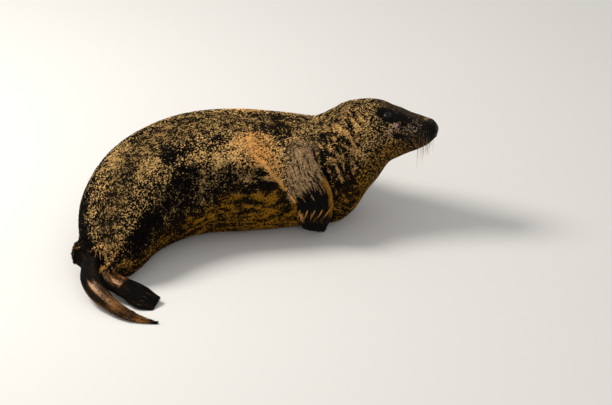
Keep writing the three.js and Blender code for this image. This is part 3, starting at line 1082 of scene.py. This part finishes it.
class Finish:
    """A material under construction."""

    def __init__(self, name):
        self.material = bpy.data.materials.new(name)
        self.material.use_nodes = True
        self.tree = self.material.node_tree
        self.shader = self.tree.nodes["Principled BSDF"]
        self.place = self.add("ShaderNodeTexCoord")["Object"]

    def add(self, kind, settings=None, values=None):
        return add_node(self.tree, kind, settings, values)

    def field(self, name):
        """A number that the mesh carries."""
        return self.add("ShaderNodeAttribute", {"attribute_type": "GEOMETRY", "attribute_name": name})["Fac"]

    def noise(self, scale, detail=3.0, place=None, rough=0.5):
        """A soft noise, on the object's coordinates unless a place is given."""
        values = {"Vector": place or self.place, "Scale": scale, "Detail": detail, "Roughness": rough}
        return self.add("ShaderNodeTexNoise", {"noise_dimensions": "3D"}, values)["Fac"]

    def cells(self, scale):
        """A random number for each of many small cells."""
        values = {"Vector": self.place, "Scale": scale}
        colour = self.add("ShaderNodeTexVoronoi", {"feature": "F1"}, values)["Color"]
        return self.add("ShaderNodeSeparateColor", None, {"Color": colour})["Red"]

    def mix(self, share, first, second):
        """A colour between two: the node's colours are its sockets 6 and 7, and its output 2."""
        settings = {"data_type": "RGBA", "clamp_factor": True}
        values = {0: share}
        for key, value in ((6, first), (7, second)):
            values[key] = value if isinstance(value, Wire) else (*value, 1)
        return self.add("ShaderNodeMix", settings, values)[2]

    def join(self, x, y, z):
        """Three numbers as one place."""
        return self.add("ShaderNodeCombineXYZ", None, {"X": x, "Y": y, "Z": z})["Vector"]

    def bump(self, height, strength, distance):
        values = {"Height": height, "Strength": strength, "Distance": distance}
        feed(self.shader.inputs["Normal"], self.add("ShaderNodeBump", None, values)["Normal"])

    def set(self, **values):
        """Links or sets the shader's own sockets."""
        for key, value in values.items():
            feed(self.shader.inputs[key.replace("_", " ").title().replace("Ior", "IOR")], value)


def shade(colour, factor):
    return tuple(c * factor for c in colour)


def evened(noise):
    """Spreads a noise over 0 to 1, so that a threshold on it gives about that share."""
    return (noise - 0.5) * 2.4 + 0.5


# Ovals on the coat: distance from the nose, degrees down from the back, reach along, reach round, strength.
DARK_BLOTCHES_AND_SHADE = (
    (436, 10, 40, 8, 0.16),
    (600, 30, 26, 6, 0.14),
    (770, 22, 36, 9, 0.14),
    (770, 54, 60, 14, 0.12),
    (915, -12, 50, 9, 0.14),
    (545, 78, 50, 10, 0.06),
    (250, 106, 46, 9, 0.15),
    (300, 94, 40, 7, 0.15),
    (305, 44, 22, 20, 0.07),
    (245, 60, 24, 14, 0.04),
    # painted shade under the fold behind the fore flipper
    (506, 68, 16, 7, 0.14),
    (478, 82, 16, 6, 0.12),
    (452, 94, 16, 6, 0.12),
    (1000, 66, 50, 18, 0.1),
    (1048, 58, 30, 18, 0.12),
    # painted shadow between the flank and the fore flipper
    (430, 100, 16, 8, 0.2),
    (255, 128, 70, 18, 0.12),
)
LIGHT_PATCHES = (
    (520, 68, 40, 8, 0.08),
    (900, 57, 30, 9, 0.1),
    (893, 84, 26, 7, 0.12),
    (722, 46, 24, 8, 0.16),
    (705, 66, 20, 9, 0.14),
    (610, 52, 30, 10, 0.16),
    (560, 40, 50, 12, 0.1),
    (850, 22, 50, 12, 0.1),
)
TAN_PATCHES = (
    (508, 34, 46, 18, 0.8),
    (496, 50, 34, 11, 0.8),
    (462, 64, 26, 10, 0.6),
)
ASH_PATCH = ((375, 40, 45, 15, 1.0),)
# Ovals on the face: a painted highlight on the top of the nose, and between the mouth and the eye, rosy
# painted highlights on the cheek fold, pinkish flecks by the whisker pad, and dark marks, one painted shade.
NOSE_SPOT = ((30, 0, 6, 20, 1.0),)
ROSY_HIGHLIGHTS_AND_FLECKS = ((117, 81, 4, 9, 0.9), (101, 64, 8, 8, 1.0), (92, 76, 5, 5, 0.6), (60, 66, 20, 22, 0.4))
DARK_FACE_MARKS_AND_SHADE = (
    (176, 2, 5, 5, 1.0),
    (84, 58, 7, 7, 1.0),
    (71, 45, 7, 7, 0.9),
    # painted shade below the rear of the eye's dark patch
    (130, 60, 12, 9, 0.4),
    (98, 88, 9, 5, 0.7),
)


class Spot:
    """Where a point of the seal lies, as wires, and the noises that all its marks and painted light share."""

    def __init__(self, finish, grain):
        self.along = finish.field("along") * 1000
        self.drop = finish.field("drop") * 180
        self.left, self.fore, self.hind, self.across = (
            finish.field(name) for name in ("left", "fore", "hind", "across")
        )
        self.grain = grain
        self.fine = finish.noise(250.0, 1.0)
        self.wander = finish.noise(17.0, 4.0, rough=0.6) - 0.5
        self.a, self.d = self.along + self.wander * 64, self.drop + self.wander * 24
        self.face = self.a.ramp(190, 140)
        # the painted light along the folds: a painted highlight on a ridge, painted shade in a hollow, then
        # that shade alone
        self.fold = finish.field("painted_fold_shading")
        self.painted_fold_shading = (0 - self.fold).ramp(0.1, 0.7)


def within(patches, a, d, edge=0.55):
    """How far inside any of some ovals a point lies, times that oval's strength."""
    total = 0.0
    for at, turn, reach, round_reach, strength in patches:
        far = (((a - at) / reach) ** 2 + ((d - turn) / round_reach) ** 2) ** 0.5
        total = far.ramp(1 + edge, 1 - edge) * strength + total
    return total


def body_markings_and_painted_light(finish, colours, spot):
    """How light the coat is, the flecks that this is held against, and the coat's light and dark colours."""
    along, drop, left, a, d = spot.along, spot.drop, spot.left, spot.a, spot.d
    sand, ink, gold, umber, tan = colours.sand, colours.ink, colours.gold, colours.umber, colours.tan
    neck = a.ramp(165, 205) * a.ramp(350, 312) * drop.ramp(6, 24)
    low = (d + a.ramp(660, 560) * 12).ramp(84, 102) * a.ramp(330, 380)
    brown = (d - 50 + (a - 510) * 0.45).ramp(-4, 10) * d.ramp(44, 64)
    back = d.ramp(26, 6) * a.ramp(190, 240)
    # painted highlight along the ridge of the fold behind the fore flipper
    ridge = spot.fold.ramp(0.35, 0.85) * drop.ramp(46, 56) * drop.ramp(98, 84)

    # flecks: fine ones all over, with dots on the back, and streaks round the neck and along the lower flank
    dots = finish.noise(62.0, 2.0)
    round_neck = finish.noise(1.0, 2.0, finish.join((along + drop * 1.18) / 5.5, drop / 17, left * 0.7))
    lengthwise = finish.noise(1.0, 2.5, finish.join(along / 38, drop / 4.0, left * 0.7))
    flank_streaks = low.most(brown * a.ramp(590, 510))
    flecks = dots + neck * (round_neck - dots) + flank_streaks * (lengthwise - dots)
    coarse = 0.22 + neck * 0.3 + flank_streaks * 0.2 - a.ramp(220, 170) * 0.15 + back * 0.08
    value = evened(spot.fine) * (0.7 - coarse) + evened(flecks) * coarse + spot.grain * 0.3

    # how much of the coat is light, with painted light and shade in it
    broad = finish.noise(27.0, 4.0, rough=0.6) - 0.5
    # darker down the flank: its own colour, and painted shade; darker on the hips
    flank = d.ramp(52, 72) * a.ramp(500, 570)
    hips = a.ramp(700, 800) * d.ramp(34, 56)
    light = 0.4 + broad * (0.5 - spot.face * 0.26) + back * 0.02 - flank * 0.05 - hips * 0.1 + low * 0.08
    light = light + neck * 0.02 - a.ramp(760, 1050) * d.ramp(34, 0) * 0.06
    # painted shade in the folds and in some dark blotches; below, the fold ridge's painted highlight, lighter
    # and tan
    light = light - within(DARK_BLOTCHES_AND_SHADE, a, d) + within(LIGHT_PATCHES, a, d) - spot.painted_fold_shading * 0.5
    warm = within(TAN_PATCHES, a, d, 0.6).most(ridge)
    haunch = a.ramp(1040, 1075)
    light = light + warm * 0.15 + ridge * 0.3 + haunch * 0.08

    # its two colours, region by region
    # the pale flecks darker in the brown of the lower flank: its own colour, and painted shade
    pale = finish.mix(brown * 0.72, sand, shade(sand, 0.26))
    pale, dark = finish.mix(low, pale, gold), finish.mix(low, ink, shade(umber, 0.7))
    pale = finish.mix(warm.most(haunch * 0.7), pale, shade(tan, 1.15))
    dark = finish.mix(warm * 0.5, dark, shade(tan, 0.08))
    throat = d.ramp(88, 112) * a.ramp(50, 80) * a.ramp(370, 320)
    pale, dark = finish.mix(throat, pale, shade(gold, 1.35)), finish.mix(throat * 0.7, dark, umber)
    pale = finish.mix(neck * (1 - throat) * 0.5, pale, shade(tan, 0.8))
    # olive on the back's top: its dry coat, and a painted sheen where it is seen at a grazing angle
    pale = finish.mix(back * 0.8, pale, colours.olive)
    dark = finish.mix(back * 0.4, dark, shade(colours.olive, 0.05))
    return light, value, pale, dark


def head_markings_and_painted_light(finish, colours, spot, light, value, pale, dark):
    """Grey-brown cheeks, a dark muzzle, rosy painted highlights under a dark wet patch round the eye, and a
    painted highlight on the nose and painted shade in the folds and behind the eye: the colour of body and
    head, and how wet the head is."""
    along, drop, wander, a, d, face = spot.along, spot.drop, spot.wander, spot.a, spot.d, spot.face
    sand, gold, tan = colours.sand, colours.gold, colours.tan
    near, turn = along + wander * 16, drop + wander * 16
    crown = face * d.ramp(36, 14)
    pale, dark = finish.mix(face * 0.9, pale, shade(sand, 0.5)), finish.mix(crown, dark, shade(sand, 0.03))
    jaw = face * turn.ramp(92, 106)
    pale = finish.mix(jaw * 0.7, pale, shade(gold, 0.9))
    muzzle = (a - drop.ramp(40, 0) * 26 + (d - 90) * 0.14).ramp(108, 66)
    front = (near + turn.ramp(70, 30) * 14).ramp(50, 32)
    from_eye = ((along + wander * 22 - 115) / 33) ** 2 + ((drop + wander * 12 - 37) / 16) ** 2
    socket = (from_eye**0.5).ramp(1.3, 0.75)
    # rosy: painted highlights on the cheek fold and pinkish flecks; top: painted highlight on the nose
    rosy, marks, top = (within(ovals, near, turn, 0.4) for ovals in (ROSY_HIGHLIGHTS_AND_FLECKS, DARK_FACE_MARKS_AND_SHADE, NOSE_SPOT))
    light = light - crown * 0.1 - muzzle * 0.1 - front * 0.22 - socket * 1.0 - marks * 0.4
    light = light + rosy * 0.18 + top * 0.5
    pale = finish.mix(muzzle * (1 - jaw) * 0.9, pale, shade(sand, 0.2))
    pale = finish.mix(rosy, pale, colours.rose)
    pale = finish.mix(top, pale, shade(tan, 0.5))
    pale = finish.mix(spot.grain * 0.28, pale, (0, 0, 0))
    colour = finish.mix((light - value).ramp(-0.032, 0.032), dark, pale)
    nose = along.ramp(20, 12)
    # the folds' painted shade also darkens the coat towards soot
    bare = (socket * 0.95).most(front * 0.5).most(nose).most(spot.painted_fold_shading * 0.6)
    return finish.mix(bare, colour, colours.soot), (muzzle * 0.3).most(socket * 0.35)


def fore_flipper_markings_and_painted_light(finish, colours, spot, colour):
    """A pale forearm with a ragged lower border, a dark hand painted with the shade under the flank's bulge,
    and painted light on lit streaks and edges: the colour with them, and where the hand is."""
    fore, across, left, grain = spot.fore, spot.across, spot.left, spot.grain
    gold, ash, soot = colours.gold, colours.ash, colours.soot
    hair = finish.noise(1.0, 2.5, finish.join(across * 12, fore * 9, left * 3))
    shoulder = within(ASH_PATCH, spot.a, spot.d) * (1 - spot.painted_fold_shading)
    forearm = (fore + (hair - 0.5) * 0.2 + spot.wander * 0.1).ramp(0.06, 0.2).most(shoulder)
    strands = evened(hair) * 0.4 + evened(spot.fine) * 0.3 + grain * 0.3
    sleeve = finish.mix((0.52 - strands).ramp(-0.12, 0.1), shade(ash, 0.05), shade(ash, 0.9))
    colour = finish.mix(forearm, colour, sleeve)
    # the dark hand paints the shade under the flank's bulge
    hand = (fore + (hair - 0.5) * 0.42 + across.ramp(-0.5, -1) * 0.12).ramp(0.41, 0.47)
    # painted highlights: lit golden streaks along the digits
    ray = finish.noise(1.0, 1.0, finish.join(across * 15 + fore * 16, fore * 5, left * 3 + 5))
    streak = (ray + grain * 0.1).ramp(0.64, 0.7) * fore.ramp(0.66, 0.71) * fore.ramp(0.82, 0.78)
    colour = finish.mix(hand, colour, finish.mix(streak, soot, gold))
    # painted light on the lit front edge, and on the rear edge below
    front_edge = (across + (hair - 0.5) * 0.5).ramp(0.72, 0.86)
    front_edge = front_edge * fore.ramp(0.4, 0.48) * fore.ramp(0.72, 0.64)
    colour = finish.mix(front_edge * grain.ramp(0.1, 0.5), colour, gold)
    rear_edge = (across + (hair - 0.5) * 0.4).ramp(-0.7, -0.84)
    rear_edge = rear_edge * fore.ramp(0.12, 0.22) * fore.ramp(0.86, 0.78)
    rear_edge = rear_edge * fore.ramp(0.52, 0.46).most(fore.ramp(0.66, 0.7))
    return finish.mix(rear_edge * grain.ramp(0.1, 0.4), colour, colours.tan), hand


def hind_flipper_markings_and_painted_light(finish, colours, spot, colour):
    """Near black, with painted bronze light: the left one towards its tip, with a painted highlight along its
    middle and a dark streak outside it, and the right one on its instep, with a painted highlight where its
    black begins; that black is its dark skin and the painted shade of the rump's shadow. The colour with
    them, and how wet the flippers are."""
    hind, across, left, grain = spot.hind, spot.across, spot.left, spot.grain
    soot, bronze = colours.soot, colours.bronze
    is_left = left.ramp(-0.2, 0.2)
    foot = (hind - (1 - is_left) * 0.06 + spot.wander * 0.06 + (grain - 0.5) * 0.05).ramp(0.145, 0.175)
    sheen = finish.noise(1.0, 2.0, finish.join(across * 2.2, hind * 6, left * 2 + 1)) - 0.5
    mottle = sheen + (evened(spot.fine) - 0.5) * 0.3 + (grain - 0.5) * 0.15
    lit_hind = hind + sheen * 0.14

    # painted light on the left flipper: bronze light (lit) and a painted highlight along its middle (glow)
    inner = (across - (hind - 0.5) * 3 + sheen * 0.6).ramp(0.6, 0.35)
    stripe = (across + sheen * 0.6).ramp(-0.1, -0.35) * across.ramp(-0.98, -0.85) * lit_hind.ramp(0.78, 0.64)
    dim = hind.ramp(0.73, 0.79) * hind.ramp(0.9, 0.84) * 0.6
    lit = is_left * lit_hind.ramp(0.45, 0.52) * inner * (1 - stripe * 0.9) * (1 - dim) * hind.ramp(0.97, 0.92)
    shine = abs(across - (hind - 0.55) * 1.2 + sheen * 0.5).ramp(0.34, 0.02)
    glow = shine * lit_hind.ramp(0.48, 0.53) * lit_hind.ramp(0.76, 0.62) * is_left

    # painted light on the right flipper's instep, and a painted highlight on its pad
    instep = lit_hind.ramp(0.22, 0.3) * (hind + sheen * 0.05).ramp(0.54, 0.5)
    instep = (1 - is_left) * (instep * (across + sheen * 0.8).ramp(-0.75, -0.35))
    lit = lit + instep * (0.7 + hind.ramp(0.3, 0.44) * 0.3)
    pad = abs(across + 0.15 + sheen * 0.5).ramp(0.42, 0.05)
    glow = glow + instep * pad * (hind + sheen * 0.12).ramp(0.38, 0.44)
    glow = glow * mottle.ramp(-0.22, 0.22) * 0.85

    # lit and unlit copies of the hide: painted bronze light, and near black that is partly painted shade
    painted_lit_hide = finish.mix(mottle.ramp(-0.12, 0.14), shade(bronze, 0.2), shade(bronze, 1.2))
    hide = finish.mix(mottle.ramp(0.05, 0.25) * 0.6, soot, shade(bronze, 0.18))
    colour = finish.mix(foot, colour, finish.mix(lit, hide, painted_lit_hide))
    # the painted highlight, in tan and bright rose
    colour = finish.mix(glow, colour, finish.mix(0.5, colours.tan, shade(colours.rose, 1.3)))
    return colour, (foot * (0.12 + lit * 0.45)).most(glow * 0.8)


def markings_and_painted_light(finish, colours, grain):
    """The seal's marks and painted light and shade, the same on skin and coat: a colour and a wetness, from
    where a point lies. Grain differs from tuft to tuft."""
    spot = Spot(finish, grain)
    light, value, pale, dark = body_markings_and_painted_light(finish, colours, spot)
    colour, wet_face = head_markings_and_painted_light(finish, colours, spot, light, value, pale, dark)
    colour, hand = fore_flipper_markings_and_painted_light(finish, colours, spot, colour)
    colour, wet_foot = hind_flipper_markings_and_painted_light(finish, colours, spot, colour)
    return colour, wet_face.most(wet_foot).most(hand * 0.3)


FUR_GLOSS = {"specular_ior_level": 0.05, "coat_roughness": 0.3}


def coat_finish(colours):
    finish = Finish("coat")
    colour, wet = markings_and_painted_light(finish, colours, finish.field("grain"))
    tip = finish.field("tip").ramp(0.1, 0.9)
    colour = finish.mix((1 - tip) * 0.2, colour, (0, 0, 0))
    finish.set(base_color=colour, roughness=0.78 - wet * 0.4, coat_weight=wet**2 * 0.5, **FUR_GLOSS)
    finish.bump(finish.noise(900.0, 2.0), 0.25, 0.4 * MM)
    return finish.material


def skin_finish(colours):
    finish = Finish("skin")
    colour, wet = markings_and_painted_light(finish, colours, finish.cells(420.0))
    bare = finish.field("bare")
    hair = finish.noise(700.0, 4.0, rough=0.7)
    colour = finish.mix((0.62 - hair) * 0.9, colour, (0, 0, 0))
    colour = finish.mix(bare * 0.85, colour, shade(colours.soot, 0.7))
    finish.set(base_color=colour, roughness=0.75 - wet.most(bare) * 0.38)
    finish.set(coat_weight=(wet**2 * 0.5).most(bare * 0.16), **FUR_GLOSS)
    finish.bump(hair + finish.noise(170.0, 3.0) * 1.4, 0.5, 1.2 * MM)
    return finish.material


def eye_finish(name):
    """A near-black wet eye: a wide pupil in a dark brown iris, paler only at its rim."""
    centre, outward, _, _ = eye_axes(name)
    finish = Finish(f"eye_{name}")
    values = {0: finish.place, 1: tuple(centre + outward * EYE_RADIUS)}
    away = finish.add("ShaderNodeVectorMath", {"operation": "DISTANCE"}, values)["Value"] / MM
    rays = finish.noise(800.0, 2.0)
    iris = finish.mix(rays, (0.008, 0.005, 0.004), (0.030, 0.019, 0.012))
    colour = finish.mix(away.ramp(4.2, 5.2), (0.002, 0.002, 0.002), iris)
    colour = finish.mix(away.ramp(9.5, 11.0), colour, (0.05, 0.035, 0.028))
    finish.set(base_color=colour, roughness=0.05 + rays * 0.03, ior=1.22)
    return finish.material


def horn_finish(name, horn):
    finish = Finish(name)
    grain = finish.noise(90.0, 4.0, rough=0.6)
    fine = finish.noise(600.0, 2.0)
    colour = finish.mix(grain.ramp(0.35, 0.7), shade(horn, 0.45), horn)
    finish.set(base_color=colour, roughness=0.38 + fine * 0.2, specular_ior_level=0.25)
    finish.bump(fine, 0.2, 0.3 * MM)
    return finish.material


def whisker_finish(colours):
    finish = Finish("whisker_hair")
    band = finish.noise(120.0, 1.0)
    colour = finish.mix(band, shade(colours.whisker, 0.6), shade(colours.whisker, 1.25))
    colour = finish.mix(finish.field("tip").ramp(0.45, 0.2), colour, shade(colours.whisker, 0.08))
    finish.set(base_color=colour, roughness=0.35 + band * 0.1)
    return finish.material


# ---- operators -------------------------------------------------------------------------------------------

FLESH = ("muzzle", "head", "neck", "chest", "shoulders", "trunk", "loin", "hips", "rump", "tail")
FLIPPERS = ("fore_flipper_right", "fore_flipper_left", "hind_flipper_left", "hind_flipper_right")


class SEAL_OT_skin(bpy.types.Operator):
    """Makes one skin over the body, tail and flippers"""

    bl_idname = "seal.skin"
    bl_label = "Skin"

    def execute(self, context):
        mesh = make_skin(context.scene.seal_sizes)
        keep_object("skin", mesh, skin_finish(context.scene.seal_colours), *FLESH, *FLIPPERS, slot="fur")
        return {"FINISHED"}


class SEAL_OT_coat(bpy.types.Operator):
    """Covers the skin with short tufts that lie back along the body"""

    bl_idname = "seal.coat"
    bl_label = "Coat"

    def execute(self, context):
        sizes = context.scene.seal_sizes
        random = np.random.default_rng(COAT_SEED)
        skin = bpy.data.objects["skin"].data
        root, normal, lie, fields = coat_roots(skin, sizes, random)
        material = coat_finish(context.scene.seal_colours)
        for name, (chosen, place) in coat_parts(fields).items():
            if chosen.sum() > TUFTS_A_PIECE:
                raise RuntimeError(f"the coat of the {name} has {chosen.sum()} tufts, over {TUFTS_A_PIECE}")
            place = MAP_MARGIN + (1 - 2 * MAP_MARGIN) * np.clip(place[chosen], 0, 1)
            parts = root[chosen], normal[chosen], lie[chosen], fields[chosen]
            mesh = tufts_mesh(f"coat_{name}", *parts, sizes, random, place)
            keep_object(f"coat_{name}", mesh, material, slot="fur")
        return {"FINISHED"}


class SEAL_OT_eyes(bpy.types.Operator):
    """Sets an eyeball behind each pair of lids"""

    bl_idname = "seal.eyes"
    bl_label = "Eyes"

    def execute(self, context):
        for name in EYES:
            keep_object(f"eyeball_{name}", eyeball(name), eye_finish(name), f"eye_{name}", slot="eye")
        return {"FINISHED"}


class SEAL_OT_claws(bpy.types.Operator):
    """Makes the five claws of each flipper"""

    bl_idname = "seal.claws"
    bl_label = "Claws"

    def execute(self, context):
        horn = context.scene.seal_colours.horn
        dark_horn = shade(horn, 0.08)
        horns = {"fore": horn_finish("claw_horn", horn), "hind": horn_finish("hind_claw_horn", dark_horn)}
        for name in BLADES:
            if name != "tail":
                limb, side = name.split("_")
                nodes = [f"{limb}_claw_{side}_{k + 1}" for k in range(DIGITS)]
                keep_object(f"claws_{name}", claws_of(name), horns[limb], *nodes, slot="claw")
        return {"FINISHED"}


class SEAL_OT_whiskers(bpy.types.Operator):
    """Makes the whiskers and the hairs over the eyes"""

    bl_idname = "seal.whiskers"
    bl_label = "Whiskers"

    def execute(self, context):
        scene = context.scene
        keep_object("whiskers", whisker_mesh(scene.seal_sizes), whisker_finish(scene.seal_colours))
        return {"FINISHED"}


VIEW_ELEVATION = math.radians(28)
VIEW_DISTANCE = 6.0
VIEW_WIDTH = 1.569  # metres across the view at the seal
VIEW_MIDDLE = (169.2, -43.9, 60.4)  # what the middle of the view shows, in the solids' millimetres
SENSOR_WIDTH = 36


def area_light(name, place, aim, size, power, tint):
    """A round soft lamp that points at its aim."""
    lamp = bpy.data.lights.new(name, "AREA")
    lamp.shape, lamp.size, lamp.energy, lamp.color = "DISK", size, power, tint
    light = bpy.data.objects.new(name, lamp)
    light.location = place
    light.rotation_euler = (Vector(aim) - Vector(place)).to_track_quat("-Z", "Y").to_euler()
    bpy.context.scene.collection.objects.link(light)


class SEAL_OT_stage(bpy.types.Operator):
    """Sets up the floor, the soft light and the camera"""

    bl_idname = "seal.stage"
    bl_label = "Stage"

    def execute(self, context):
        scene = context.scene
        bm = bmesh.new()
        bmesh.ops.create_grid(bm, x_segments=1, y_segments=1, size=30)
        mesh = mesh_from(bm, "floor")
        floor = bpy.data.objects.new("floor", mesh)
        scene.collection.objects.link(floor)
        finish = Finish("floor")
        base = tuple(scene.seal_colours.floor)
        finish.set(base_color=finish.mix(finish.noise(2.0), shade(base, 0.985), base), roughness=0.9)
        mesh.materials.append(finish.material)

        world = bpy.data.worlds.new("studio")
        world.use_nodes = True
        scene.world = world
        tree = world.node_tree
        path = add_node(tree, "ShaderNodeLightPath")
        seen = path["Is Camera Ray"].most(path["Is Glossy Ray"]).most(path["Is Transmission Ray"])
        strength = 0.5 + seen * 0.32
        feed(tree.nodes["Background"].inputs["Color"], (1, 1, 1, 1))
        feed(tree.nodes["Background"].inputs["Strength"], strength)

        middle = in_frame(VIEW_MIDDLE)
        area_light("key", (-2.2, 0.5, 2.6), middle, 1.3, 105, (1.0, 0.96, 0.9))
        area_light("fill", (0.6, -3.4, 1.9), middle, 2.0, 20, (1.0, 0.98, 0.95))

        lens = bpy.data.cameras.new("camera")
        lens.sensor_width = SENSOR_WIDTH
        lens.lens = SENSOR_WIDTH * VIEW_DISTANCE / VIEW_WIDTH
        camera = bpy.data.objects.new("camera", lens)
        back = Vector((0, -math.cos(VIEW_ELEVATION), math.sin(VIEW_ELEVATION)))
        camera.location = Vector(middle) + back * VIEW_DISTANCE
        camera.rotation_euler = (-back).to_track_quat("-Z", "Y").to_euler()
        scene.collection.objects.link(camera)
        scene.camera = camera
        scene.view_settings.view_transform = "Standard"
        return {"FINISHED"}


class SEAL_PT_panel(bpy.types.Panel):
    """Lists the seal's sizes, colours and steps"""

    bl_idname = "SEAL_PT_panel"
    bl_label = "Grey seal"
    bl_space_type = "VIEW_3D"
    bl_region_type = "UI"
    bl_category = "Grey seal"

    def draw(self, context):
        for group in (context.scene.seal_sizes, context.scene.seal_colours):
            for key in group.__annotations__:
                self.layout.prop(group, key)
        for step in STEPS:
            self.layout.operator(step.bl_idname)


STEPS = (SEAL_OT_stage, SEAL_OT_skin, SEAL_OT_coat, SEAL_OT_eyes, SEAL_OT_claws, SEAL_OT_whiskers)
CLASSES = (SealSizes, SealColours, *STEPS, SEAL_PT_panel)


def register():
    for each in CLASSES:
        bpy.utils.register_class(each)
    bpy.types.Scene.seal_sizes = bpy.props.PointerProperty(type=SealSizes)
    bpy.types.Scene.seal_colours = bpy.props.PointerProperty(type=SealColours)


def unregister():
    del bpy.types.Scene.seal_colours
    del bpy.types.Scene.seal_sizes
    for each in reversed(CLASSES):
        bpy.utils.unregister_class(each)


def main():
    register()
    for step in STEPS:
        group, name = step.bl_idname.split(".")
        getattr(getattr(bpy.ops, group), name)()


if __name__ == "__main__":
    main()
